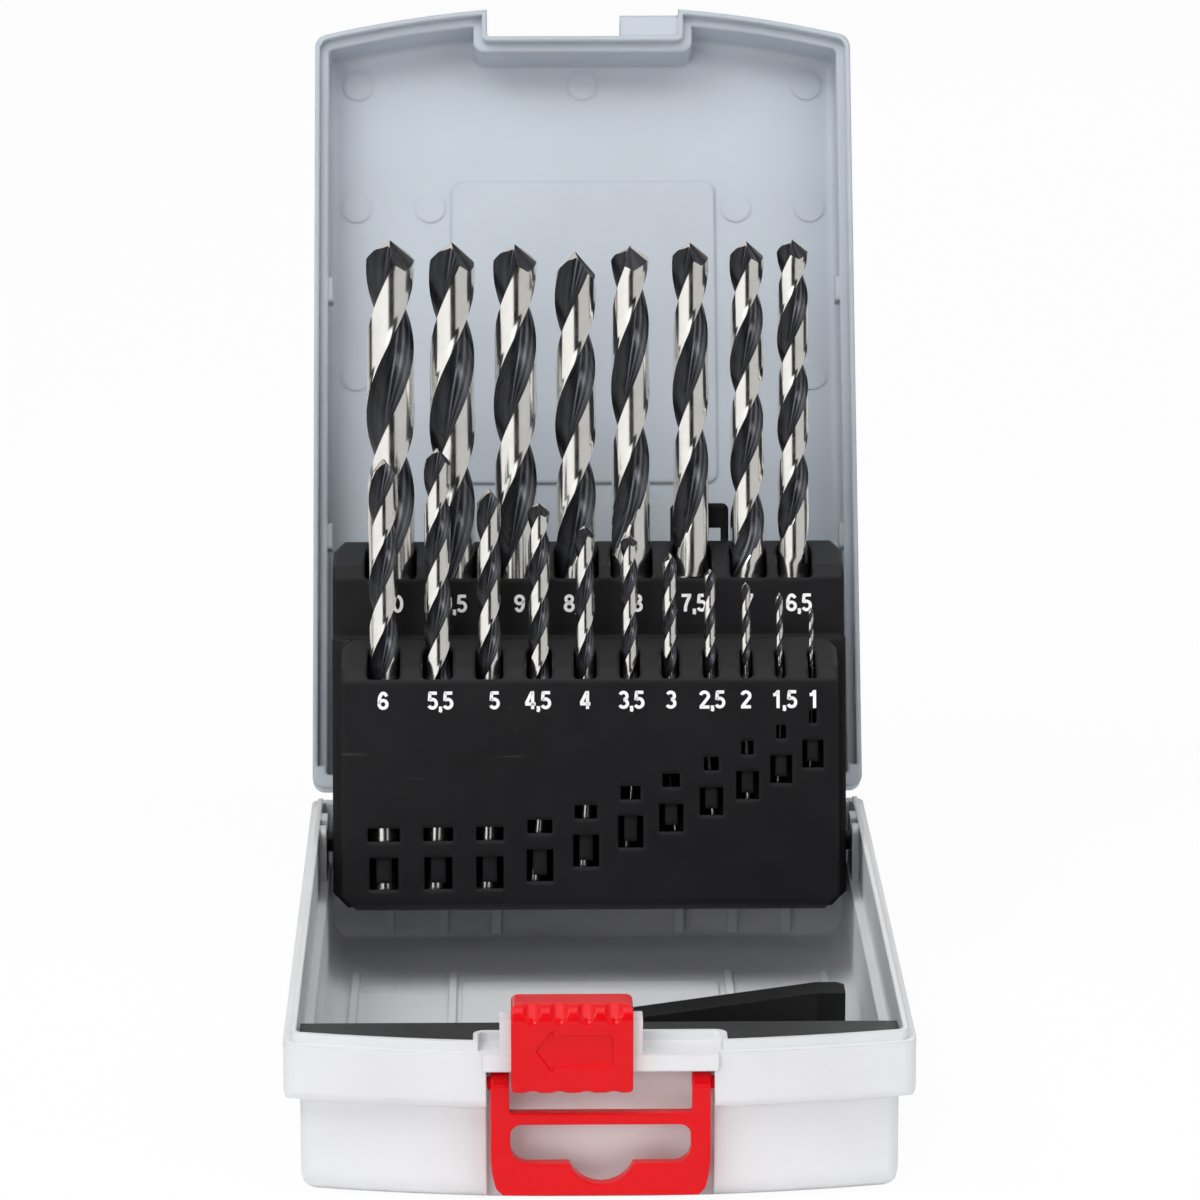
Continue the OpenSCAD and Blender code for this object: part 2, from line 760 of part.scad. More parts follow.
module windows() {
    for (k = [0 : len(front_row) - 1]) {
        d = front_row[k][0];
        x = front_row[k][1];
        h = d > small_drill ? window_tall[0] : window_tall[1];
        lift = d > small_drill ? window_lift[0] : window_lift[1];
        w = 4 + 0.3 * d;
        difference() {
            translate([x - w / 2, -1, window_h[k]]) cube([w, row1_d + 1, h]);
            // sprung finger in front of the shank
            translate([x - w * 0.26, finger_d, window_h[k] + finger_t])
                cube([w * 0.52, finger_t, h]);
        }
        translate([x - d / 2 - bore_gap, -1, window_h[k] + lift])
            cube([d + 2 * bore_gap, row1_d + 1, upper_window_h]);
    }
}

module bit_holder() black() in_holder() {
    difference() {
        union() {
            holder_body();
            translate([-holder_half - 2.5, piv_d, piv_h]) rotate([0, 90, 0])
                cylinder(r = trunnion_r, h = 2 * holder_half + 5);
            // clip tab above the rear tier
            translate([clip_x0, holder_d - clip_t, tier2_h - 1])
                cube([1.6, clip_t, clip_z1 - tier2_h]);
            translate([clip_x1 - 1.6, holder_d - clip_t, tier2_h - 1])
                cube([1.6, clip_t, clip_z1 - tier2_h]);
            translate([0, holder_d, 0]) rotate([90, 0, 0]) linear_extrude(height = clip_t) {
                translate([clip_x0, clip_z0]) square([clip_x1 - clip_x0, clip_z1 - clip_z0 - 1.4]);
                translate([clip_x0 + 1.4, clip_z0])
                    square([clip_x1 - clip_x0 - 2.8, clip_z1 - clip_z0]);
                for (x = [clip_x0 + 1.4, clip_x1 - 1.4])
                    translate([x, clip_z1 - 1.4]) circle(r = 1.4);
            }
        }
        for (b = rear_row) {
            translate([b[1], row2_d, b[2] - seat_gap]) cylinder(r = b[0] / 2 + bore_gap, h = far * 2);
            slot_cut(b[1], b[0] + slot_extra, tier_d - 1, row2_d, tier2_edge - 0.2, tier2_h);
        }
        for (b = front_row) {
            translate([b[1], row1_d, b[2] - seat_gap]) cylinder(r = b[0] / 2 + bore_gap, h = far * 2);
            if (b[0] + slot_extra > 2 * slot_r + 0.4)
                slot_cut(b[1], b[0] + slot_extra, -1, row1_d, tier1_edge + 0.2, tier1_h);
            else
                narrow_slot(b[1], b[0] + slot_extra, -1, row1_d, tier1_edge + 0.2, tier1_h + 2);
        }
        windows();
    }
}

// ---- drills ----

twist_step = 26;

// One half of a two-flute section, radius 1: land, then flute
function half_section() = [[-40, 1], [-13, 1], [14, 1], [41, 1], [63, 0.62], [90, 0.3], [116, 0.52]];
function ring(r) = [for (t = [0, 180], p = half_section())
    [r * p[1] * cos(p[0] + t), r * p[1] * sin(p[0] + t)]];

module drill(b, depth) in_holder() steel() {
    r = b[0] / 2;
    shank = b[3] - b[4];
    tip_h = r / tan(point_half);
    turn = 360 * b[4] / (b[6] * b[0]);
    chamfer = 0.08 * b[0];
    translate([b[1], depth, b[2]]) {
        cylinder(r1 = r - chamfer, r2 = r, h = chamfer);
        translate([0, 0, chamfer]) cylinder(r = r, h = shank - chamfer);
        intersection() {
            translate([0, 0, shank - 0.4]) rotate([0, 0, b[5]])
                linear_extrude(height = b[4] + 0.4, twist = -turn,
                    slices = ceil(turn / twist_step), segments = len(ring(1)))
                    polygon(ring(r * 0.985));
            union() {
                cylinder(r = b[0], h = b[3] - tip_h, $fn = 12);
                translate([0, 0, b[3] - tip_h]) cylinder(r1 = r, r2 = 0, h = tip_h, $fn = 32);
            }
        }
    }
}

base_shell();
tip_guard();
lid_shell();
latch_slider();
hanger();
bit_holder();
drill(rear_row[0], row2_d);  // drill_10_0
drill(rear_row[1], row2_d);  // drill_9_5
drill(rear_row[2], row2_d);  // drill_9_0
drill(rear_row[3], row2_d);  // drill_8_5
drill(rear_row[4], row2_d);  // drill_8_0
drill(rear_row[5], row2_d);  // drill_7_5
drill(rear_row[6], row2_d);  // drill_7_0
drill(rear_row[7], row2_d);  // drill_6_5
drill(front_row[0], row1_d);  // drill_6_0
drill(front_row[1], row1_d);  // drill_5_5
drill(front_row[2], row1_d);  // drill_5_0
drill(front_row[3], row1_d);  // drill_4_5
drill(front_row[4], row1_d);  // drill_4_0
drill(front_row[5], row1_d);  // drill_3_5
drill(front_row[6], row1_d);  // drill_3_0
drill(front_row[7], row1_d);  // drill_2_5
drill(front_row[8], row1_d);  // drill_2_0
drill(front_row[9], row1_d);  // drill_1_5
drill(front_row[10], row1_d);  // drill_1_0
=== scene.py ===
"""Looks of the drill case: base, lid, latch, hanger, tip guard, drill holder and nineteen twist drills.

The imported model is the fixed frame. Base, lid, tip guard and holder keep their own solids and
get their plastics here, slider and hanger get the soft edges of mouldings, the drills are
modelled again with their flutes, lands and points, and the holder gets its size numbers.
Everything is in metres, with X to the right, Y to the back and Z up.
"""

import logging  # noqa: E402
import math  # noqa: E402
from dataclasses import dataclass, field  # noqa: E402
from enum import Enum  # noqa: E402
from typing import Callable, Iterable, Sequence  # noqa: E402

import bmesh  # noqa: E402
import bpy  # noqa: E402
from mathutils import Matrix, Vector  # noqa: E402


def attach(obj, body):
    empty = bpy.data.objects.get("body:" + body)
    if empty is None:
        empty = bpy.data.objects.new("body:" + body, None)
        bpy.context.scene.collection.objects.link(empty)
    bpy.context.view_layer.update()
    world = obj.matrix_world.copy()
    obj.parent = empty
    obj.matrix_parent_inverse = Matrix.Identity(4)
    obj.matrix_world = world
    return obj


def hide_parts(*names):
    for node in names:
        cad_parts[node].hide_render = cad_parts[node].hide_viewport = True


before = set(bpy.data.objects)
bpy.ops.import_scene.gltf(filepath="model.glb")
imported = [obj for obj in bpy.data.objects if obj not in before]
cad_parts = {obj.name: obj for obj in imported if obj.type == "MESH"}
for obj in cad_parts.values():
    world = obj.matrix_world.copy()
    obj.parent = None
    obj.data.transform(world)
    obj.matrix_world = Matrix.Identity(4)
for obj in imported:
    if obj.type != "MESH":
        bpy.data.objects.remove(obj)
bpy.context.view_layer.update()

MM = 0.001
# tolerances: factors that count as equal, heights of a drill shaped at radius 1, metres between
# vertices that are merged
SAME = 1e-6
NEAR = 1e-4
WELD = 0.002 * MM
# parts of a noise's range: most of its values, and their middle
MOST = (0.3, 0.7)
MIDDLE = (0.35, 0.65)
log = logging.getLogger("drill_case")

Colour = tuple[float, float, float]
Triple = tuple[float, float, float]
Point = tuple[float, float]
Socket = bpy.types.NodeSocket
Piece = bpy.types.Object


class Part(Enum):
    """Which surface of a drill a face belongs to, as the number of its material slot."""

    LAND = 0
    FLUTE = 1
    POINT = 2


# ---------------------------------------------------------------- node graphs


class Graph:
    """Node graph of one material, with short calls for the nodes that the finishes share."""

    def __init__(self, name: str) -> None:
        """Makes an empty material.

        Args:
            name: Name of the material.
        """
        self.material = bpy.data.materials.new(name)
        self.material.use_nodes = True
        self.tree = self.material.node_tree
        self.tree.nodes.clear()
        self.output = self.tree.nodes.new("ShaderNodeOutputMaterial")

    def node(self, kind: str, **values: object) -> bpy.types.Node:
        """Adds a node.

        Args:
            kind: Node type without its ShaderNode prefix.
            values: Properties of the node, or inputs by name with spaces as underscores.

        Returns:
            The new node.
        """
        made = self.tree.nodes.new("ShaderNode" + kind)
        for key, value in values.items():
            if hasattr(made, key):
                setattr(made, key, value)
            else:
                made.inputs[key.replace("_", " ")].default_value = value
        return made

    def link(self, source: Socket, target: Socket) -> None:
        """Links an output to an input."""
        self.tree.links.new(source, target)

    def feed(self, target: Socket, value: object) -> None:
        """Links an output to an input, or sets the input.

        Args:
            target: Input that is fed.
            value: Output, colour or number.
        """
        if isinstance(value, Socket):
            self.link(value, target)
        else:
            target.default_value = (*value, 1) if isinstance(value, tuple) else value

    def place(self, turn: Triple = (0, 0, 0), stretch: Triple = (1, 1, 1)) -> Socket:
        """Object coordinates, turned and stretched.

        Args:
            turn: Rotation in radians.
            stretch: Factor on each axis.

        Returns:
            The vector output.
        """
        coordinates = self.node("TexCoord")
        mapping = self.node("Mapping", Rotation=turn, Scale=stretch)
        self.link(coordinates.outputs["Object"], mapping.inputs["Vector"])
        return mapping.outputs["Vector"]

    def along(self, name: str, stretch: Triple) -> Socket:
        """A vector attribute of the piece, stretched.

        Args:
            name: Name of the attribute.
            stretch: Factor on each axis.

        Returns:
            The vector output.
        """
        attribute = self.node("Attribute", attribute_name=name)
        mapping = self.node("Mapping", Scale=stretch)
        self.link(attribute.outputs["Vector"], mapping.inputs["Vector"])
        return mapping.outputs["Vector"]

    def noise(
        self, vector: Socket, scale: float, detail: float = 3, roughness: float = 0.5
    ) -> Socket:
        """Noise between 0 and 1.

        Args:
            vector: Coordinates in metres.
            scale: Cells a metre.
            detail: Octaves.
            roughness: Share of the finer octaves.

        Returns:
            The factor output.
        """
        made = self.node("TexNoise", Scale=scale, Detail=detail, Roughness=roughness)
        self.link(vector, made.inputs["Vector"])
        return made.outputs["Fac"]

    def spread(
        self, value: Socket, low: float, high: float, start: float = 0, end: float = 1
    ) -> Socket:
        """Maps a value from one range to another and holds it there.

        Args:
            value: What is mapped.
            low: Result at the start.
            high: Result at the end.
            start: Value that gives low.
            end: Value that gives high.

        Returns:
            The mapped value.
        """
        made = self.node("MapRange", From_Min=start, From_Max=end, To_Min=low, To_Max=high, clamp=True)
        self.link(value, made.inputs["Value"])
        return made.outputs["Result"]

    def mix(self, factor: Socket, first: object, second: object) -> Socket:
        """Mixes two colours.

        Args:
            factor: Share of the second colour.
            first: Colour or colour output.
            second: Colour or colour output.

        Returns:
            The mixed colour.
        """
        made = self.node("Mix", data_type="RGBA")
        self.link(factor, made.inputs[0])
        self.feed(made.inputs[6], first)
        self.feed(made.inputs[7], second)
        return made.outputs[2]

    def times(self, first: Socket, second: object, how: str = "MULTIPLY") -> Socket:
        """Multiplies two numbers, or joins them by another operation.

        Args:
            first: Output with the first number.
            second: Second number, or an output.
            how: Operation of the Math node.

        Returns:
            The result.
        """
        made = self.node("Math", operation=how)
        self.link(first, made.inputs[0])
        self.feed(made.inputs[1], second)
        return made.outputs[0]

    def bump(
        self,
        height: Socket,
        depth: float,
        strength: float = 1,
        normal: Socket | None = None,
    ) -> Socket:
        """Turns a height into a normal.

        Args:
            height: Height between 0 and 1.
            depth: Height of 1, in metres.
            strength: Share of the effect.
            normal: Normal under it, such as the rounded edges'.

        Returns:
            The normal output.
        """
        made = self.node("Bump", Strength=strength, Distance=depth)
        self.link(height, made.inputs["Height"])
        if normal is not None:
            self.link(normal, made.inputs["Normal"])
        return made.outputs["Normal"]

    def round_edges(self, radius: float) -> Socket:
        """Normal that softens the edges of a solid.

        Args:
            radius: Radius of the rounding, in metres.

        Returns:
            The normal output.
        """
        return self.node("Bevel", samples=4, Radius=radius).outputs["Normal"]

    def surface(
        self,
        colour: object,
        roughness: object,
        normal: Socket | None = None,
        **sockets: float,
    ) -> bpy.types.Material:
        """Ends the graph in a Principled shader.

        Args:
            colour: Colour or colour output.
            roughness: Number or output.
            normal: Normal output.
            sockets: Plain numbers on the shader's own sockets, spaces as underscores.

        Returns:
            The finished material.
        """
        shader = self.node("BsdfPrincipled", **sockets)
        self.feed(shader.inputs["Base Color"], colour)
        self.feed(shader.inputs["Roughness"], roughness)
        if normal is not None:
            self.link(normal, shader.inputs["Normal"])
        self.link(shader.outputs["BSDF"], self.output.inputs["Surface"])
        return self.material


def linear(colour: Colour) -> Colour:
    """Turns a colour as it looks on screen into scene values.

    Args:
        colour: Red, green and blue on screen, 0 to 1.

    Returns:
        The same colour in linear values.
    """
    return tuple(c / 12.92 if c <= 0.04045 else ((c + 0.055) / 1.055) ** 2.4 for c in colour)


# ---------------------------------------------------------------- finishes


@dataclass(frozen=True)
class MouldedPlastic:
    """Injection-moulded plastic: spark-eroded grain, faint flow clouds and soft edges."""

    name: str
    colour: Colour
    roughness: float
    grain: float = 0.35
    grain_depth: float = 0.012
    cloud: float = 0.02
    edge: float = 0.35
    specular: float = 0.45
    scuffs: float = 0.0
    scuff_colour: Colour = (0.5, 0.5, 0.5)
    clouds_a_metre: float = 38
    wear_a_metre: float = 120

    def material(self) -> bpy.types.Material:
        """Builds the material.

        Returns:
            The plastic's material.
        """
        graph = Graph(self.name)
        place = graph.place()
        clouds = graph.noise(place, self.clouds_a_metre, 3, 0.55)
        fine = graph.noise(place, 1000 / self.grain, 2, 0.6)
        base = linear(self.colour)
        low = tuple(c * (1 - 2 * self.cloud) for c in base)
        high = tuple(min(1.0, c * (1 + self.cloud)) for c in base)
        colour = graph.mix(graph.spread(clouds, 0, 1, *MOST), low, high)
        if self.scuffs:
            colour = graph.mix(self.scratches(graph), colour, linear(self.scuff_colour))
        wear = graph.noise(place, self.wear_a_metre, 4, 0.6)
        rough = graph.spread(wear, self.roughness - 0.05, self.roughness + 0.06, *MOST)
        soft = graph.round_edges(self.edge * MM) if self.edge else None
        normal = graph.bump(fine, self.grain_depth * MM, 0.6, soft)
        return graph.surface(colour, rough, normal, Specular_IOR_Level=self.specular)

    def scratches(self, graph: Graph) -> Socket:
        """Short pale handling scratches in two directions.

        Args:
            graph: Graph that gets the nodes.

        Returns:
            Mask of the scratches, 0 to the finish's share.
        """
        masks = []
        hairline, patch = (0.70, 0.76), (0.56, 0.66)
        for turn, stretch in ((0.5, (1, 14, 14)), (-0.9, (12, 1, 12))):
            lines = graph.noise(graph.place((turn, turn * 0.6, turn), stretch), 60, 2, 0.5)
            where = graph.noise(graph.place((0, 0, turn)), 55, 2, 0.5)
            thin = graph.spread(lines, 0, 1, *hairline)
            masks.append(graph.times(thin, graph.spread(where, 0, 1, *patch)))
        both = graph.times(masks[0], masks[1], "MAXIMUM")
        return graph.times(both, self.scuffs)


@dataclass(frozen=True)
class GroundSteel:
    """Bright steel, ground round the drill, with fine rings and faint blotches."""

    name: str
    colour: Colour
    roughness: float
    ring: float = 0.12
    ring_depth: float = 0.0012
    blotches_a_metre: float = 420
    dull_share: float = 0.94

    def material(self) -> bpy.types.Material:
        """Builds the material.

        Returns:
            The steel's material.
        """
        graph = Graph(self.name)
        rings = graph.noise(graph.along("straight", (0.05, 0.05, 1)), 1000 / self.ring, 2, 0.6)
        blotch = graph.noise(graph.along("straight", (1, 1, 0.6)), self.blotches_a_metre, 3, 0.6)
        base = linear(self.colour)
        dull = tuple(c * self.dull_share for c in base)
        colour = graph.mix(graph.spread(blotch, 0, 1, *MIDDLE), dull, base)
        rough = graph.spread(blotch, self.roughness + 0.04, self.roughness - 0.02, *MIDDLE)
        normal = graph.bump(rings, self.ring_depth * MM, 0.5)
        return graph.surface(colour, rough, normal, Metallic=1.0)


@dataclass(frozen=True)
class BlackOxide:
    """Steam-blackened flute: dark, half glossy, with pale lines painted along the twist as highlights."""

    name: str
    colour: Colour
    # pale: colour of the random streaks and of the painted highlight lines
    pale: Colour
    roughness: float
    streak: float = 0.35
    streak_depth: float = 0.006
    blotches_a_metre: float = 300
    metal: float = 0.35
    # lines of painted highlight: middle angle and reach in degrees, and share of the pale colour
    lines: tuple[Triple, ...] = ((64, 14, 0.16), (96, 11, 0.85), (118, 5, 0.7), (129, 3, 0.35))

    def painted_highlights(self, graph: Graph) -> Socket:
        """Painted highlight lines along the flute, by the angle in the straight section.

        Args:
            graph: Graph that gets the nodes.

        Returns:
            Mask of the lines, 0 to 1.
        """
        parts = graph.node("SeparateXYZ")
        graph.link(graph.along("straight", (1, 1, 1)), parts.inputs[0])
        radians = graph.times(parts.outputs["Y"], parts.outputs["X"], "ARCTAN2")
        angle = graph.times(graph.times(radians, 180 / math.pi), 180, "FLOORED_MODULO")
        mask = graph.times(angle, 0)
        for middle, reach, share in self.lines:
            off = graph.times(graph.times(angle, middle, "SUBTRACT"), 0, "ABSOLUTE")
            mask = graph.times(mask, graph.spread(off, share, 0, 0, reach), "MAXIMUM")
        return mask

    def material(self) -> bpy.types.Material:
        """Builds the material.

        Returns:
            The flute's material.
        """
        graph = Graph(self.name)
        streaks = graph.noise(graph.along("straight", (1, 1, 0.04)), 1000 / self.streak, 3, 0.6)
        blotch = graph.noise(graph.along("straight", (1, 1, 0.3)), self.blotches_a_metre, 3, 0.6)
        # pale lines painted where the flute's highlights fall, dimmed at random by the blotches
        lines = graph.times(self.painted_highlights(graph), graph.spread(blotch, 0.45, 1.0, *MIDDLE))
        # share of the pale colour: random streaks, and the painted highlight lines
        pale = graph.times(graph.spread(streaks, 0.0, 0.16, 0.45, 0.8), lines, "MAXIMUM")
        colour = graph.mix(pale, linear(self.colour), linear(self.pale))
        rough = graph.spread(blotch, self.roughness - 0.06, self.roughness + 0.08, *MIDDLE)
        normal = graph.bump(streaks, self.streak_depth * MM, 0.7)
        return graph.surface(colour, rough, normal, Metallic=self.metal, Specular_IOR_Level=0.45)


@dataclass(frozen=True)
class PadPrint:
    """White pad-printed ink: nearly opaque, thinner in small pores."""

    name: str
    colour: Colour
    under: Colour
    roughness: float = 0.45
    pores_a_metre: float = 5200
    pore_depth: float = 0.004

    def material(self) -> bpy.types.Material:
        """Builds the material.

        Returns:
            The ink's material.
        """
        graph = Graph(self.name)
        pores = graph.noise(graph.place(), self.pores_a_metre, 2, 0.5)
        thin = graph.spread(pores, 0, 0.5, 0.66, 0.8)
        colour = graph.mix(thin, linear(self.colour), linear(self.under))
        normal = graph.bump(pores, self.pore_depth * MM, 0.5)
        return graph.surface(colour, self.roughness, normal)


@dataclass(frozen=True)
class StudioPaper:
    """White paper of the floor, which the camera sees as white with a faint shadow."""

    name: str
    colour: Colour
    white_share: float = 0.95
    fibres_a_metre: float = 900

    def material(self) -> bpy.types.Material:
        """Builds the material.

        Returns:
            The paper's material.
        """
        graph = Graph(self.name)
        fibres = graph.noise(graph.place(), self.fibres_a_metre, 3, 0.6)
        base = linear(self.colour)
        colour = graph.mix(fibres, tuple(c * 0.99 for c in base), base)
        made = graph.surface(colour, 0.9, None, Specular_IOR_Level=0.1)
        shader = graph.output.inputs["Surface"].links[0].from_node
        white = graph.node("Emission", Color=(1, 1, 1, 1), Strength=1.0)
        path = graph.node("LightPath")
        share = graph.times(path.outputs["Is Camera Ray"], self.white_share)
        mixed = graph.node("MixShader")
        graph.link(share, mixed.inputs["Fac"])
        graph.link(shader.outputs["BSDF"], mixed.inputs[1])
        graph.link(white.outputs["Emission"], mixed.inputs[2])
        graph.link(mixed.outputs["Shader"], graph.output.inputs["Surface"])
        return made


@dataclass(frozen=True)
class StudioCard:
    """Card that bright metal mirrors, with one even tone and a faint weave."""

    name: str
    tone: float
    threads_a_metre: float = 1500

    def material(self) -> bpy.types.Material:
        """Builds the material.

        Returns:
            The card's material.
        """
        graph = Graph(self.name)
        weave = graph.noise(graph.place(), self.threads_a_metre, 2, 0.5)
        glow = graph.node("Emission", Strength=1.0)
        colour = graph.mix(weave, (self.tone * 0.9,) * 3, (self.tone,) * 3)
        graph.link(colour, glow.inputs["Color"])
        graph.link(glow.outputs["Emission"], graph.output.inputs["Surface"])
        return graph.material


# ---------------------------------------------------------------- modelling by hand


def deselect_all() -> None:
    """Leaves edit mode and deselects every object."""
    if bpy.context.object is not None and bpy.context.object.mode != "OBJECT":
        bpy.ops.object.mode_set(mode="OBJECT")
    bpy.ops.object.select_all(action="DESELECT")


def take(piece: Piece) -> Piece:
    """Makes a piece the only selected one and the active one."""
    deselect_all()
    piece.select_set(True)
    bpy.context.view_layer.objects.active = piece
    return piece


def pick(piece: Piece, wanted: Callable[[Vector], bool]) -> None:
    """Selects vertices of the piece in edit mode by their place.

    Args:
        piece: Piece that is in edit mode.
        wanted: Says of a vertex's place whether it is selected.
    """
    mesh = bmesh.from_edit_mesh(piece.data)
    mesh.select_mode = {"VERT"}
    for vertex in mesh.verts:
        vertex.select_set(bool(wanted(vertex.co)))
    mesh.select_flush_mode()
    bmesh.update_edit_mesh(piece.data)


def pick_edges(piece: Piece, wanted: Callable[[Vector, Vector], bool]) -> None:
    """Selects edges of the piece in edit mode by their ends.

    Args:
        piece: Piece that is in edit mode.
        wanted: Says of an edge's two ends whether it is selected.
    """
    mesh = bmesh.from_edit_mesh(piece.data)
    mesh.select_mode = {"EDGE"}
    for edge in mesh.edges:
        edge.select_set(False)
    for edge in mesh.edges:
        if wanted(edge.verts[0].co, edge.verts[1].co):
            edge.select_set(True)
    mesh.select_flush_mode()
    bmesh.update_edit_mesh(piece.data)


def extrude(height: float) -> None:
    """Extrudes what is selected upward, or downward if the height is negative."""
    bpy.ops.mesh.extrude_region_move(TRANSFORM_OT_translate={"value": (0, 0, height)})


def dress(piece: Piece, *materials: bpy.types.Material) -> None:
    """Gives a piece these materials, in this order, and no others."""
    piece.data.materials.clear()
    for material in materials:
        piece.data.materials.append(material)


def dress_solid(node: str, finish: MouldedPlastic) -> None:
    """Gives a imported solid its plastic."""
    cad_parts[node].material_slots[0].material = finish.material()


def opposite(place: Vector, angle: float) -> float:
    """How far a place lies from an angle or the one opposite to it, in degrees round Z."""
    return abs((math.degrees(math.atan2(place.y, place.x)) - angle + 90) % 180 - 90)


def copy_of(piece: Piece, name: str) -> Piece:
    """Copies a piece with a mesh of its own and makes it the active one.

    Args:
        piece: Piece that is copied.
        name: Name of the copy.

    Returns:
        The copy.
    """
    made = piece.copy()
    made.data = piece.data.copy()
    made.name = made.data.name = name
    bpy.context.scene.collection.objects.link(made)
    return take(made)


def discard(*pieces: Piece) -> None:
    """Removes helper pieces and their meshes."""
    for piece in pieces:
        mesh = piece.data
        bpy.data.objects.remove(piece)
        bpy.data.meshes.remove(mesh)


def moulded(node: str, name: str, voxel: float, passes: int) -> Piece:
    """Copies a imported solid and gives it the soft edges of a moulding.

    Args:
        node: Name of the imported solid.
        name: Name of the new piece.
        voxel: Size of the voxels that rebuild the surface, in millimetres.
        passes: Rounds of smoothing, which set how soft the edges are.

    Returns:
        The moulded piece.
    """
    piece = copy_of(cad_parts[node], name)
    bpy.ops.object.mode_set(mode="EDIT")
    bpy.ops.mesh.select_all(action="SELECT")
    bpy.ops.mesh.remove_doubles(threshold=WELD)
    bpy.ops.object.mode_set(mode="OBJECT")
    rebuilt = piece.modifiers.new("rebuilt", "REMESH")
    rebuilt.mode = "VOXEL"
    rebuilt.voxel_size = voxel * MM
    softened = piece.modifiers.new("softened", "SMOOTH")
    softened.iterations = passes
    for modifier in ("rebuilt", "softened"):
        bpy.ops.object.modifier_apply(modifier=modifier)
    bpy.ops.object.shade_smooth()
    return piece


def put(piece: Piece, matrix: Matrix) -> None:
    """Places a piece and puts the place into its mesh, so that its object is at the origin."""
    take(piece)
    piece.matrix_world = matrix
    bpy.ops.object.transform_apply(location=True, rotation=True, scale=True)


# ---------------------------------------------------------------- the raised holder's own axes


@dataclass(frozen=True)
class HolderAxes:
    """Place of the raised drill holder: X across, then depth from its front, then height."""

    lean: float = math.radians(13.65)
    foot: Triple = (0.0, 37.24, 19.53)

    def matrix(self, across: float, depth: float, height: float) -> Matrix:
        """Matrix of a point of the holder, with Z along the drills.

        Args:
            across: Distance from the middle, in millimetres.
            depth: Distance behind the front face.
            height: Distance above the holder's foot.

        Returns:
            The place in the case's frame, in metres.
        """
        origin = Matrix.Translation(Vector(self.foot) * MM)
        turn = Matrix.Rotation(-self.lean, 4, "X")
        return origin @ turn @ Matrix.Translation(Vector((across, depth, height)) * MM)


# ---------------------------------------------------------------- drills


@dataclass(frozen=True)
class Drill:
    """One twist drill and its seat, in millimetres, with its turn in degrees.

    Its pitch is the rise of a flute in one turn, in drill diameters.
    """

    diameter: float
    across: float
    seat: float
    length: float
    flute: float
    phase: float
    pitch: float
    depth: float

    @property
    def size(self) -> str:
        """Size as its node is named, such as 9_5."""
        return f"{self.diameter:.1f}".replace(".", "_")

    @property
    def label(self) -> str:
        """Size as it is printed, such as 9,5."""
        return f"{self.diameter:g}".replace(".", ",")


REAR_DEPTH, FRONT_DEPTH = 26.0, 6.5
DRILLS: tuple[Drill, ...] = (
    Drill(10, -40.5, 3.9, 133, 87, 20, 6.1, REAR_DEPTH),
    Drill(9.5, -27.8, 11.4, 125, 81, 64, 6.4, REAR_DEPTH),
    Drill(9, -14.8, 11.0, 125, 81, 16, 6.3, REAR_DEPTH),
    Drill(8.5, -2.4, 17.2, 117, 75, 50, 6.2, REAR_DEPTH),
    Drill(8, 8.9, 18.5, 117, 64, 98, 7.1, REAR_DEPTH),
    Drill(7.5, 21.3, 27.2, 109, 69, 58, 7.0, REAR_DEPTH),
    Drill(7, 32.9, 27.4, 109, 69, 118, 5.9, REAR_DEPTH),
    Drill(6.5, 42.4, 35.8, 101, 67, 45, 5.7, REAR_DEPTH),
    Drill(6, -41.65, 1.6, 89.6, 54, 34, 5.9, FRONT_DEPTH),
    Drill(5.5, -30.7, 1.6, 91.8, 56, 110, 5.8, FRONT_DEPTH),
    Drill(5, -20.3, 1.6, 83.5, 50, 148, 5.9, FRONT_DEPTH),
    Drill(4.5, -10.2, 2.3, 80, 47, 48, 5.7, FRONT_DEPTH),
    Drill(4, -0.9, 2.6, 75, 43, 134, 6.6, FRONT_DEPTH),
    Drill(3.5, 8.1, 5.6, 70, 39, 56, 6.2, FRONT_DEPTH),
    Drill(3, 16.3, 10.9, 61, 33, 146, 6.1, FRONT_DEPTH),
    Drill(2.5, 24.4, 11.7, 57, 30, 100, 6.3, FRONT_DEPTH),
    Drill(2, 31.7, 17.0, 49, 24, 112, 6.7, FRONT_DEPTH),
    Drill(1.5, 38.5, 23.8, 40, 18, 110, 6.4, FRONT_DEPTH),
    Drill(1, 44.9, 26.7, 34, 12, 154, 6.7, FRONT_DEPTH),
)


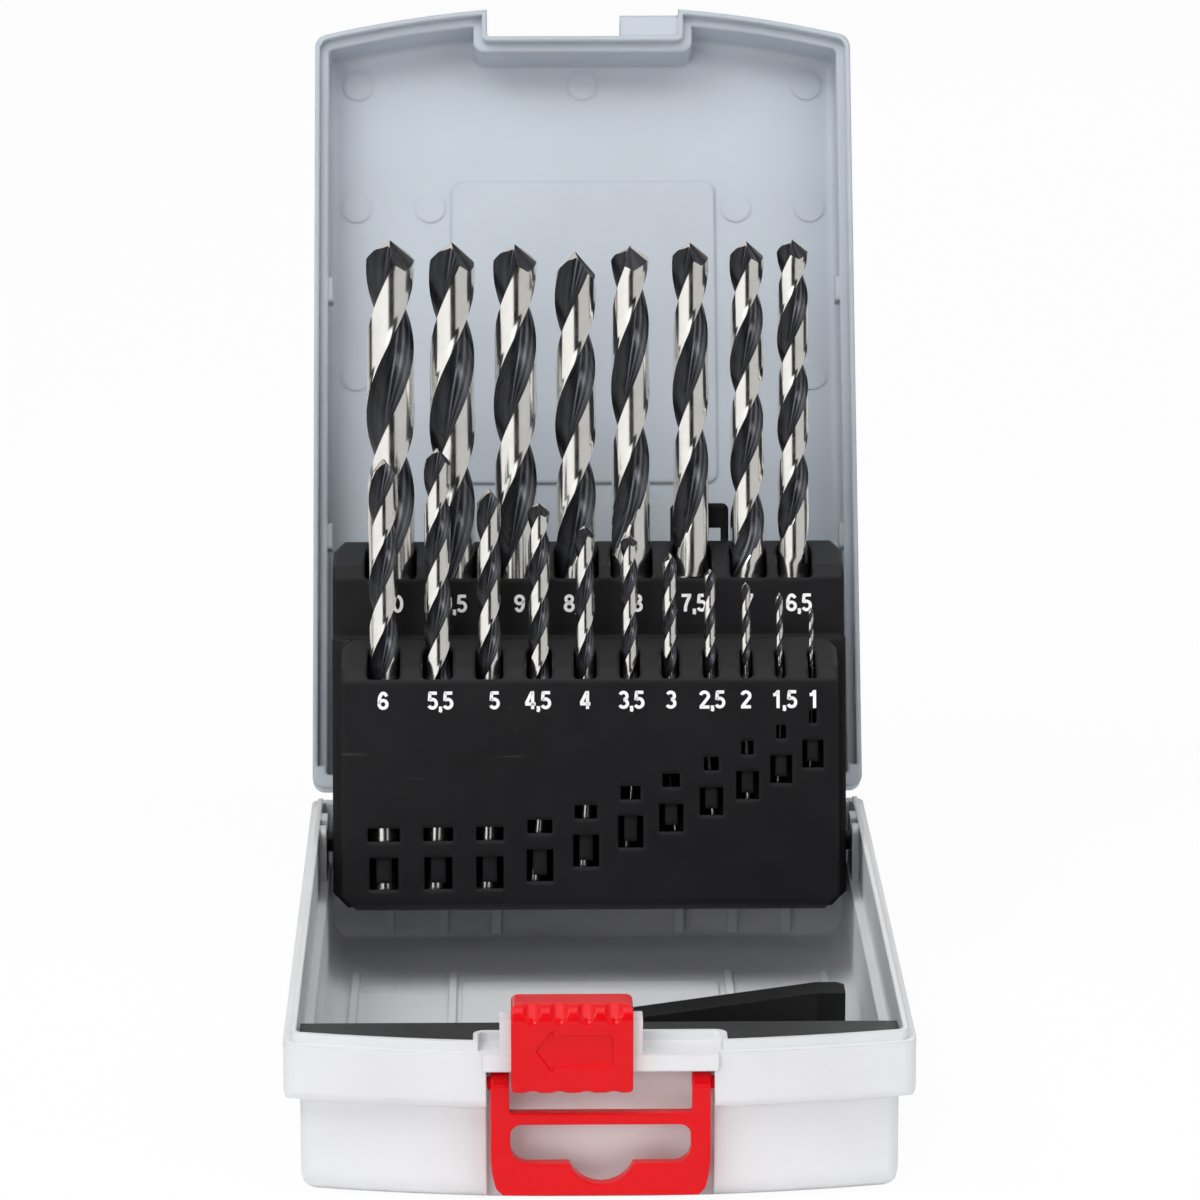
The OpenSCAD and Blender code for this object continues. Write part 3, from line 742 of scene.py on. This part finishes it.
@dataclass
class DrillSet:
    """The nineteen drills. The start of a drill is modelled once; each size is a copy of it.

    Lengths are in drill radii, angles in degrees unless they are named with math.radians. The
    flute curve gives the radius of the section at an angle.
    """

    axes: HolderAxes
    land: GroundSteel = GroundSteel("ground_steel", (0.94, 0.93, 0.91), 0.17)
    # the flute's pale colour is that of its random streaks and of its painted highlight lines
    flute: BlackOxide = BlackOxide("black_flute", (0.09, 0.09, 0.105), (0.5, 0.51, 0.55), 0.3)
    point: GroundSteel = GroundSteel("ground_point", (0.8, 0.78, 0.75), 0.5, 0.2, 0.004)
    sides: int = 60
    run_out: float = 4.4
    run_rings: int = 11
    slices_a_turn: int = 34
    fewest_slices: int = 8
    half_point: float = math.radians(61)
    chisel: float = 0.13
    chisel_flat: float = 0.06
    chisel_turn: float = 50.0
    relief: float = 0.85
    flank_step: int = 5
    envelope_rim: float = 1.15
    longest: float = 75.0
    edge_angle: float = 42.0
    margin_start: float = 30.0
    margin: float = 1.0
    clearance: float = 0.968
    flute_below: float = 0.9575
    point_slope: float = 0.7
    point_reach: float = 1.1
    chamfer: float = 0.16
    in_bore: float = 0.998
    straight_radius: float = 4.0
    smooth_below: float = math.radians(32)
    flute_curve: tuple[Point, ...] = (
        (42, 1.0), (48, 0.83), (54, 0.67), (60, 0.54), (66, 0.44), (72, 0.365),
        (78, 0.315), (84, 0.29), (90, 0.285), (96, 0.30), (102, 0.335), (108, 0.395),
        (114, 0.475), (120, 0.585), (126, 0.72), (132, 0.855), (138, 0.955),
    )

    def reach(self, angle: float) -> float:
        """Radius of the fluted section at an angle, where the full radius is 1.

        Args:
            angle: Angle in degrees.

        Returns:
            The radius.
        """
        turned = (angle + self.edge_angle) % 180 - self.edge_angle
        if turned <= self.margin_start:
            return self.clearance
        if turned <= self.edge_angle + 0.01:
            return self.margin
        curve = self.flute_curve
        for (a0, r0), (a1, r1) in zip(curve, curve[1:]):
            if turned <= a1:
                return r0 + (r1 - r0) * (turned - a0) / (a1 - a0)
        return curve[-1][1]

    def pressed(self, angle: float, share: float) -> float:
        """Radius at an angle where the cutter is still lifted, so that the flute is narrow and shallow.

        Args:
            angle: Angle in degrees.
            share: Share of the full depth.

        Returns:
            The radius.
        """
        deepest = min(radius for _, radius in self.flute_curve)
        return min(1.0, self.reach(angle) + (1 - deepest) * (1 - share))

    def groove(self, piece: Piece, height: float, share: float, before: float) -> None:
        """Presses the flutes into one ring of the piece, in edit mode.

        Args:
            piece: Piece that is in edit mode.
            height: Height of the ring.
            share: Share of the flutes' full depth after this.
            before: Share that the ring has already.
        """
        step = 360 / self.sides
        close = step * 0.3
        for number in range(self.sides // 2):
            angle = number * step - self.edge_angle
            factor = self.pressed(angle, share) / self.pressed(angle, before)
            if abs(factor - 1) < SAME:
                continue
            pick(piece, lambda co, a=angle: abs(co.z - height) < NEAR and opposite(co, a) < close)
            bpy.ops.transform.resize(value=(factor, factor, 1), center_override=(0, 0, 0))

    def model_run_out(self) -> Piece:
        """Models the start of the flutes at radius 1: a plain ring below, the full section above.

        Returns:
            The helper piece, open at both ends.
        """
        deselect_all()
        bpy.ops.mesh.primitive_circle_add(vertices=self.sides, radius=1, fill_type="NOTHING")
        piece = bpy.context.object
        piece.name = "run_out"
        bpy.ops.object.mode_set(mode="EDIT")
        bpy.ops.mesh.select_all(action="SELECT")
        rise = self.run_out / self.run_rings
        before = 0.0
        for ring in range(1, self.run_rings + 1):
            extrude(rise)
            share = 1 - (1 - ring / self.run_rings) ** 2
            self.groove(piece, ring * rise, share, before)
            before = share
            pick(piece, lambda co, z=ring * rise: abs(co.z - z) < NEAR)
        bpy.ops.object.mode_set(mode="OBJECT")
        return piece

    def drop(self, angle: float) -> float:
        """How far the ground flank lies below the cutting lip at radius 1.

        Args:
            angle: Angle in degrees, in the straight section.

        Returns:
            The drop, in drill radii.
        """
        behind = (self.edge_angle - angle) % 180
        land = 2 * self.edge_angle
        return self.relief * (behind / land if behind <= land else (180 - behind) / (180 - land))

    def model_envelope(self) -> Piece:
        """Models the shape that grinds the point: two relieved flanks that meet in a chisel edge.

        Returns:
            The helper piece at radius 1, with its top at the origin.
        """
        rim = self.envelope_rim
        fall = rim / math.tan(self.half_point)
        deselect_all()
        bpy.ops.mesh.primitive_cone_add(
            vertices=360 // self.flank_step,
            radius1=rim,
            radius2=self.chisel,
            depth=fall,
            location=(0, 0, -fall / 2),
        )
        piece = bpy.context.object
        piece.name = "point_envelope"
        bpy.ops.object.transform_apply(location=True)
        bpy.ops.object.mode_set(mode="EDIT")
        pick(piece, lambda co: abs(co.z) < NEAR)
        bpy.ops.transform.resize(value=(1, self.chisel_flat, 1), center_override=(0, 0, 0))
        turn = math.radians(self.edge_angle + self.chisel_turn)
        bpy.ops.transform.rotate(value=turn, orient_axis="Z", center_override=(0, 0, 0))
        for angle in range(0, 180, self.flank_step):
            pick(piece, lambda co, a=angle: co.z < -fall / 2 and opposite(co, a) < 1)
            bpy.ops.transform.translate(value=(0, 0, -rim * self.drop(angle)))
        pick(piece, lambda co: co.z < -fall / 2)
        extrude(-self.longest)
        bpy.ops.mesh.select_all(action="SELECT")
        bpy.ops.mesh.normals_make_consistent(inside=False)
        bpy.ops.object.mode_set(mode="OBJECT")
        return piece

    def model(self, drill: Drill, start: Piece, envelope: Piece) -> Piece:
        """Models one drill at its place.

        Args:
            drill: Drill that is modelled.
            start: The run-out at radius 1.
            envelope: The shape of the ground point, at radius 1.

        Returns:
            The finished mesh piece.
        """
        radius = drill.diameter / 2
        fluted = drill.flute / radius
        shank = (drill.length - drill.flute) / radius
        pitch = drill.pitch * 2
        top = self.run_out
        piece = copy_of(start, f"drill_{drill.size}_steel")
        bpy.ops.object.mode_set(mode="EDIT")
        pick(piece, lambda co: abs(co.z - top) < NEAR)
        extrude(fluted - self.run_out)
        cuts = max(self.fewest_slices, round((fluted - self.run_out) / pitch * self.slices_a_turn))
        pick_edges(piece, lambda a, b: abs(a.z - b.z) > fluted / 2)
        bpy.ops.mesh.subdivide(number_cuts=cuts)
        pick(piece, lambda co: abs(co.z - fluted) < NEAR)
        bpy.ops.mesh.edge_face_add()
        # shank and its chamfer
        pick(piece, lambda co: abs(co.z) < NEAR)
        extrude(self.chamfer - shank)
        extrude(-self.chamfer)
        low = -shank
        pick(piece, lambda co: abs(co.z - low) < 10 * NEAR)
        foot = 1 - self.chamfer
        bpy.ops.transform.resize(value=(foot, foot, 1), center_override=(0, 0, low))
        bpy.ops.mesh.edge_face_add()
        bpy.ops.mesh.select_all(action="SELECT")
        bpy.ops.mesh.normals_make_consistent(inside=False)
        bpy.ops.object.mode_set(mode="OBJECT")
        self.twist(piece, low, fluted, pitch)
        self.grind(piece, envelope, fluted, pitch)
        self.sort_faces(piece, fluted)
        self.mark_straight(piece, pitch)
        phase = Matrix.Rotation(math.radians(drill.phase), 4, "Z")
        seat = self.axes.matrix(drill.across, drill.depth, drill.seat + drill.length - drill.flute)
        put(piece, seat @ phase @ Matrix.Scale(radius * MM * self.in_bore, 4))
        bpy.ops.object.shade_smooth_by_angle(angle=self.smooth_below)
        return piece

    def twist(self, piece: Piece, low: float, high: float, pitch: float) -> None:
        """Twists the straight flutes to the right-hand helix.

        Args:
            piece: Straight drill at radius 1.
            low: Height of its lower end.
            high: Height of its upper end.
            pitch: Height of one turn.
        """
        take(piece)
        bend = piece.modifiers.new("twist", "SIMPLE_DEFORM")
        bend.deform_method = "TWIST"
        bend.deform_axis = "Z"
        bend.angle = 2 * math.pi * (high - low) / pitch
        bpy.ops.object.modifier_apply(modifier=bend.name)

    def grind(self, piece: Piece, envelope: Piece, top: float, pitch: float) -> None:
        """Grinds the point on the twisted drill.

        Args:
            piece: Twisted drill at radius 1.
            envelope: The shape of the ground point, with its top at the origin.
            top: Height of the point.
            pitch: Height of one turn.
        """
        shape = copy_of(envelope, "ground_shape")
        turn = Matrix.Rotation(2 * math.pi * top / pitch, 4, "Z")
        put(shape, Matrix.Translation((0, 0, top)) @ turn)
        take(piece)
        cut = piece.modifiers.new("point", "BOOLEAN")
        cut.operation = "INTERSECT"
        cut.object = shape
        cut.solver = "MANIFOLD"
        bpy.ops.object.modifier_apply(modifier=cut.name)
        discard(shape)

    def sort_faces(self, piece: Piece, top: float) -> None:
        """Gives lands, flutes and the ground point their own material slots.

        Args:
            piece: Drill at radius 1, upright.
            top: Height of its point.
        """
        dress(piece, *(bpy.data.materials[f.name] for f in (self.land, self.flute, self.point)))
        fall = self.point_reach / math.tan(self.half_point) + self.relief
        for face in piece.data.polygons:
            places = [piece.data.vertices[i].co for i in face.vertices]
            lowest, highest = min(p.z for p in places), max(p.z for p in places)
            innermost = min(math.hypot(p.x, p.y) for p in places)
            kind = Part.LAND
            if face.normal.z > self.point_slope and lowest > top - fall:
                kind = Part.POINT
            elif innermost < self.flute_below and highest > 0:
                kind = Part.FLUTE
            face.material_index = kind.value

    def mark_straight(self, piece: Piece, pitch: float) -> None:
        """Keeps where each vertex was before the twist, in an attribute that the finishes read.

        Args:
            piece: Drill at radius 1, upright.
            pitch: Height of one turn.
        """
        mark = piece.data.attributes.new("straight", "FLOAT_VECTOR", "POINT")
        scale = self.straight_radius * MM
        values: list[float] = []
        for vertex in piece.data.vertices:
            back = -2 * math.pi * vertex.co.z / pitch
            c, s = math.cos(back), math.sin(back)
            x, y, z = vertex.co
            values += [(x * c - y * s) * scale, (x * s + y * c) * scale, z * scale]
        mark.data.foreach_set("vector", values)

    def build(self) -> None:
        """Models every drill, dresses it and lets it ride in its bore."""
        for finish in (self.land, self.flute, self.point):
            finish.material()
        start = self.model_run_out()
        envelope = self.model_envelope()
        for drill in DRILLS:
            piece = self.model(drill, start, envelope)
            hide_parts(f"drill_{drill.size}")
            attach(piece, f"bit_{drill.size}")
            log.info("%s: %d faces", piece.name, len(piece.data.polygons))
        discard(start, envelope)


# ---------------------------------------------------------------- numerals


NUMERAL_WIDTH = 0.61


@dataclass(frozen=True)
class Bow:
    """Part of an ellipse in a numeral's stroke, in heights of the numeral."""

    x: float
    y: float
    wide: float
    tall: float
    start: float = 0.0
    end: float = 360.0

    def points(self) -> list[Point]:
        """Points along the bow, one each 12 degrees or so.

        Returns:
            The points.
        """
        steps = max(3, round(abs(self.end - self.start) / 12))
        angles = (math.radians(self.start + (self.end - self.start) * i / steps) for i in range(steps + 1))
        return [(self.x + self.wide * math.cos(a), self.y + self.tall * math.sin(a)) for a in angles]

    def turned(self) -> "Bow":
        """The same bow in the numeral turned upside down."""
        return Bow(NUMERAL_WIDTH - self.x, 1 - self.y, self.wide, self.tall, self.start + 180, self.end + 180)


STROKES = {
    "0": [[Bow(0.305, 0.5, 0.222, 0.417)]],
    "1": [[(0.40, 0), (0.40, 1)], [(0.13, 0.74), (0.27, 0.77), (0.37, 0.92)]],
    "2": [[Bow(0.305, 0.7, 0.222, 0.217, 165, -30), (0.12, 0.12)], [(0.03, 0.08), (0.585, 0.08)]],
    "3": [[Bow(0.295, 0.715, 0.2, 0.202, 155, -90)], [Bow(0.295, 0.295, 0.225, 0.212, 90, -155)]],
    "4": [[(0.435, 0), (0.435, 1)], [(0.40, 0.96), (0.085, 0.33)], [(0.02, 0.287), (0.6, 0.287)]],
    "5": [
        [(0.12, 0.917), (0.55, 0.917)],
        [(0.168, 0.95), (0.13, 0.48)],
        [Bow(0.3, 0.325, 0.222, 0.242, 135, -152)],
    ],
    "6": [[Bow(0.31, 0.3, 0.218, 0.217)], [Bow(0.325, 0.48, 0.232, 0.437, 38, 200)]],
    "7": [[(0.03, 0.917), (0.58, 0.917)], [(0.505, 0.9), (0.35, 0.58), (0.26, 0.3), (0.235, 0)]],
    "8": [[Bow(0.305, 0.735, 0.185, 0.182)], [Bow(0.305, 0.295, 0.222, 0.212)]],
    ",": [[(0.1, 0.165), (0.1, 0)], [(0.14, 0.02), (0.07, -0.15)]],
}
STROKES["9"] = [[bow.turned() for bow in stroke] for stroke in STROKES["6"]]


@dataclass
class Numerals:
    """Plain bold numerals of one height, drawn with a flat nib. Sizes are in that height."""

    advance: float = 0.65
    comma_advance: float = 0.21
    nib_width: float = 0.18

    def nib(self) -> Piece:
        """Makes the nib, a flat line as wide as a stroke.

        Returns:
            The nib's curve object.
        """
        data = bpy.data.curves.new("nib", "CURVE")
        line = data.splines.new("POLY")
        line.points.add(1)
        for point, side in zip(line.points, (-1, 1)):
            point.co = (side * self.nib_width / 2, 0, 0, 1)
        tip = bpy.data.objects.new("nib", data)
        bpy.context.scene.collection.objects.link(tip)
        return tip

    def draw(self, name: str, body: str) -> Piece:
        """Draws a number, centred, with its foot on X.

        Args:
            name: Name of the piece.
            body: Numerals and commas.

        Returns:
            The flat mesh, 1 high.
        """
        sheet = bpy.data.curves.new(name, "CURVE")
        sheet.dimensions = "2D"
        sheet.fill_mode = "NONE"
        sheet.bevel_mode = "OBJECT"
        tip = sheet.bevel_object = self.nib()
        steps = [self.comma_advance if mark == "," else self.advance for mark in body]
        across = -(sum(steps) - self.advance + NUMERAL_WIDTH) / 2
        for mark, step in zip(body, steps):
            for stroke in STROKES[mark]:
                path = [q for p in stroke for q in (p.points() if isinstance(p, Bow) else [p])]
                line = sheet.splines.new("POLY")
                line.points.add(len(path) - 1)
                for point, (x, y) in zip(line.points, path):
                    point.co = (x + across, y, 0, 1)
            across += step
        bpy.context.scene.collection.objects.link(bpy.data.objects.new(name, sheet))
        take(bpy.data.objects[name])
        bpy.ops.object.convert(target="MESH")
        piece = bpy.context.object
        piece.name = piece.data.name = name
        bpy.data.curves.remove(tip.data)
        return piece


# ---------------------------------------------------------------- holder and its numbers


@dataclass
class DrillHolder:
    """The black stepped holder, which keeps its solid, and the printed size numbers."""

    axes: HolderAxes
    plastic: MouldedPlastic = MouldedPlastic(
        "black_holder_plastic",
        (0.08, 0.078, 0.086),
        0.42,
        grain=0.45,
        grain_depth=0.02,
        cloud=0.05,
        edge=1.4,
        specular=0.22,
        scuffs=0.12,
        scuff_colour=(0.42, 0.41, 0.4),
    )
    ink: PadPrint = PadPrint("white_print", (1.0, 1.0, 1.0), (0.6, 0.6, 0.6))
    numerals: Numerals = field(default_factory=Numerals)
    cap_height: float = 3.6
    film: float = 0.03
    rear_face: float = 18.2
    rear_line: float = 61.8
    front_line: float = 42.3
    rear_places: tuple[float, ...] = (-40.2, -27.5, -14.1, -2.4, 10.0, 21.6, 32.7, 43.1)
    front_places: tuple[float, ...] = (
        -41.7, -30.2, -19.3, -10.5, -1.0, 8.3, 16.3, 24.6, 31.4, 39.1, 44.9,
    )

    def number(self, drill: Drill, across: float) -> Piece:
        """Prints one size under its drill.

        Args:
            drill: Drill whose size is printed.
            across: Middle of the number, in millimetres.

        Returns:
            The mesh of the print.
        """
        rear = drill.depth == REAR_DEPTH
        piece = self.numerals.draw(f"size_{drill.size}", drill.label)
        depth = self.rear_face if rear else 0.0
        height = self.rear_line if rear else self.front_line
        place = self.axes.matrix(across, depth - self.film, height - self.cap_height / 2)
        upright = Matrix.Rotation(math.radians(90), 4, "X")
        put(piece, place @ upright @ Matrix.Scale(self.cap_height * MM, 4))
        return piece

    def build(self) -> None:
        """Dresses the holder and prints the numbers."""
        dress_solid("bit_holder", self.plastic)
        ink = self.ink.material()
        rear = [d for d in DRILLS if d.depth == REAR_DEPTH]
        front = [d for d in DRILLS if d.depth == FRONT_DEPTH]
        for drill, across in [*zip(rear, self.rear_places), *zip(front, self.front_places)]:
            piece = self.number(drill, across)
            dress(piece, ink)
            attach(piece, "holder")
        log.info("holder: %d printed numbers", len(DRILLS))


# ---------------------------------------------------------------- shells, latch, hanger, guard


@dataclass
class CaseShells:
    """Base and lid, which keep their solids."""

    white: MouldedPlastic = MouldedPlastic(
        "white_base_plastic", (0.885, 0.887, 0.895), 0.42, grain=0.5, grain_depth=0.01, edge=0.6
    )
    grey: MouldedPlastic = MouldedPlastic(
        "grey_lid_plastic", (0.722, 0.751, 0.784), 0.4, grain=0.5, grain_depth=0.008, edge=1.3
    )

    def build(self) -> None:
        """Dresses base and lid."""
        dress_solid("base_shell", self.white)
        dress_solid("lid_shell", self.grey)
        log.info("base and lid dressed")


@dataclass
class LatchAndHanger:
    """The glossy red slider and hanger, whose solids get soft edges."""

    red: MouldedPlastic = MouldedPlastic(
        "red_latch_plastic",
        (0.865, 0.03, 0.075),
        0.2,
        grain=1.4,
        grain_depth=0.01,
        edge=0,
        specular=0.22,
    )
    pieces: tuple[tuple[str, str, str, float], ...] = (
        ("latch_slider", "red_slider", "slider", 0.16),
        ("hanger", "red_hanger", "hanger", 0.18),
    )
    passes: int = 6

    def build(self) -> None:
        """Moulds and dresses slider and hanger."""
        red = self.red.material()
        for node, name, body, voxel in self.pieces:
            piece = moulded(node, name, voxel, self.passes)
            dress(piece, red)
            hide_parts(node)
            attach(piece, body)
            log.info("%s: %d faces", name, len(piece.data.polygons))


@dataclass
class TipGuard:
    """The black insert in the base, which keeps its solid."""

    black: MouldedPlastic = MouldedPlastic(
        "black_guard_plastic",
        (0.1, 0.1, 0.105),
        0.42,
        grain=0.5,
        grain_depth=0.012,
        cloud=0.04,
        specular=0.3,
    )

    def build(self) -> None:
        """Dresses the guard."""
        dress_solid("tip_guard", self.black)
        log.info("tip guard dressed")


# ---------------------------------------------------------------- studio


@dataclass(frozen=True)
class Panel:
    """Soft panel light: place and size in metres, power in watts."""

    name: str
    place: Triple
    size: Point
    power: float
    mirrored: bool = False
    lights: bool = True

    def hang(self, aim: Triple) -> None:
        """Hangs the panel.

        Args:
            aim: Point that it faces.
        """
        data = bpy.data.lights.new(self.name, "AREA")
        data.shape = "RECTANGLE"
        data.size, data.size_y = self.size
        data.energy = self.power
        light = bpy.data.objects.new(self.name, data)
        bpy.context.scene.collection.objects.link(light)
        light.location = self.place
        light.visible_glossy = self.mirrored
        light.visible_diffuse = self.lights
        way = Vector(aim) - Vector(self.place)
        light.rotation_euler = way.to_track_quat("-Z", "Y").to_euler()


@dataclass
class Studio:
    """White paper floor, soft panels, white surroundings and the camera."""

    paper: StudioPaper = StudioPaper("studio_paper", (0.985, 0.985, 0.985))
    eye: Triple = (-0.015601, -1.052355, 0.348139)
    pitch: float = 0.238
    yaw: float = 0.016
    lens: float = 169.24
    ambient: float = 0.03
    middle: Triple = (0, 0.05, 0.08)
    panels: tuple[Panel, ...] = (
        Panel("left_panel", (-1.0, -1.3, 0.35), (1.1, 0.9), 6.2),
        Panel("right_panel", (1.15, -0.85, 0.6), (0.9, 1.3), 6.2),
        Panel("top_panel", (0, -0.45, 1.4), (1.4, 1.0), 8, mirrored=True),
        Panel("high_left_panel", (-0.8, -0.4, 1.2), (0.8, 0.8), 8),
        Panel("high_right_panel", (0.8, -0.4, 1.2), (0.8, 0.8), 2.5),
        Panel("front_panel", (-0.3, -1.3, 0.7), (0.6, 0.5), 3.0),
        Panel("rear_panel", (0.2, 1.5, 0.9), (1.2, 0.8), 7),
        Panel("glint_strip", (-0.5, -0.75, 0.75), (0.5, 0.16), 2.6, mirrored=True, lights=False),
    )
    floor_radius: float = 6.0
    card_height: float = 1.6
    cards: tuple[tuple[str, Point, Point, float], ...] = (
        ("camera_cloth", (-0.2, -1.12), (0.42, -1.12), 0.004),
        ("grey_card", (0.42, -1.12), (1.25, 0.05), 0.62),
        ("right_flag", (1.25, 0.05), (0.9, 0.6), 0.03),
        ("left_flag", (-0.9, 0.7), (-1.2, 0.35), 0.03),
    )

    def floor(self) -> None:
        """Lays the paper."""
        deselect_all()
        bpy.ops.mesh.primitive_circle_add(vertices=96, radius=self.floor_radius, fill_type="NGON")
        paper = bpy.context.object
        paper.name = "paper_floor"
        paper.data.materials.append(self.paper.material())

    def card(self, name: str, start: Point, end: Point, tone: float) -> None:
        """Stands a card round the object, unseen but for its reflection.

        Args:
            name: Name of the card.
            start: X and Y of its left edge, in metres.
            end: X and Y of its right edge.
            tone: Brightness, 0 to 1.
        """
        deselect_all()
        bpy.ops.mesh.primitive_plane_add(size=1)
        card = bpy.context.object
        card.name = name
        across = Vector(end) - Vector(start)
        bpy.ops.object.mode_set(mode="EDIT")
        bpy.ops.mesh.select_all(action="SELECT")
        bpy.ops.transform.resize(value=(across.length, self.card_height, 1))
        bpy.ops.object.mode_set(mode="OBJECT")
        middle = (Vector(start) + Vector(end)) / 2
        turn = Matrix.Rotation(math.atan2(across.y, across.x), 4, "Z")
        upright = Matrix.Rotation(math.pi / 2, 4, "X")
        put(card, Matrix.Translation((*middle, self.card_height / 2)) @ turn @ upright)
        card.data.materials.append(StudioCard(name, tone).material())
        card.visible_camera = False
        card.visible_diffuse = False
        card.visible_shadow = False

    def surroundings(self) -> None:
        """Sets the soft white world, which the camera and bright metal see as plain white."""
        world = bpy.data.worlds.new("studio_world")
        bpy.context.scene.world = world
        world.use_nodes = True
        tree = world.node_tree
        tree.nodes.clear()
        soft, white = (tree.nodes.new("ShaderNodeBackground") for _ in range(2))
        for light, strength in ((soft, self.ambient), (white, 1.0)):
            light.inputs["Color"].default_value = (1, 1, 1, 1)
            light.inputs["Strength"].default_value = strength
        path = tree.nodes.new("ShaderNodeLightPath")
        seen, bright = (tree.nodes.new("ShaderNodeMath") for _ in range(2))
        seen.operation = bright.operation = "MAXIMUM"
        mix = tree.nodes.new("ShaderNodeMixShader")
        out = tree.nodes.new("ShaderNodeOutputWorld")
        for source, target in (
            (path.outputs["Is Camera Ray"], seen.inputs[0]),
            (path.outputs["Is Transmission Ray"], seen.inputs[1]),
            (seen.outputs[0], bright.inputs[0]),
            (path.outputs["Is Glossy Ray"], bright.inputs[1]),
            (bright.outputs[0], mix.inputs["Fac"]),
            (soft.outputs[0], mix.inputs[1]),
            (white.outputs[0], mix.inputs[2]),
            (mix.outputs[0], out.inputs["Surface"]),
        ):
            tree.links.new(source, target)

    def camera(self) -> None:
        """Sets the photograph's camera."""
        data = bpy.data.cameras.new("photo_camera")
        data.sensor_width = 36
        data.lens = self.lens
        data.clip_start, data.clip_end = 0.05, 50
        eye = bpy.data.objects.new("photo_camera", data)
        bpy.context.scene.collection.objects.link(eye)
        eye.location = self.eye
        eye.rotation_euler = (math.pi / 2 - self.pitch, 0, -self.yaw)
        bpy.context.scene.camera = eye

    def build(self) -> None:
        """Sets up floor, lights, world, camera and colour management."""
        self.camera()
        self.floor()
        self.surroundings()
        for name, start, end, tone in self.cards:
            self.card(name, start, end, tone)
        for panel in self.panels:
            panel.hang(self.middle)
        bpy.context.scene.view_settings.view_transform = "Standard"
        log.info("studio ready")


# ---------------------------------------------------------------- build


def main() -> None:
    """Builds the studio and then each sub-assembly in order."""
    logging.basicConfig(level=logging.INFO, format="%(name)s: %(message)s")
    Studio().build()
    CaseShells().build()
    TipGuard().build()
    LatchAndHanger().build()
    axes = HolderAxes()
    DrillHolder(axes).build()
    DrillSet(axes).build()
    deselect_all()


if __name__ == "__main__":
    main()
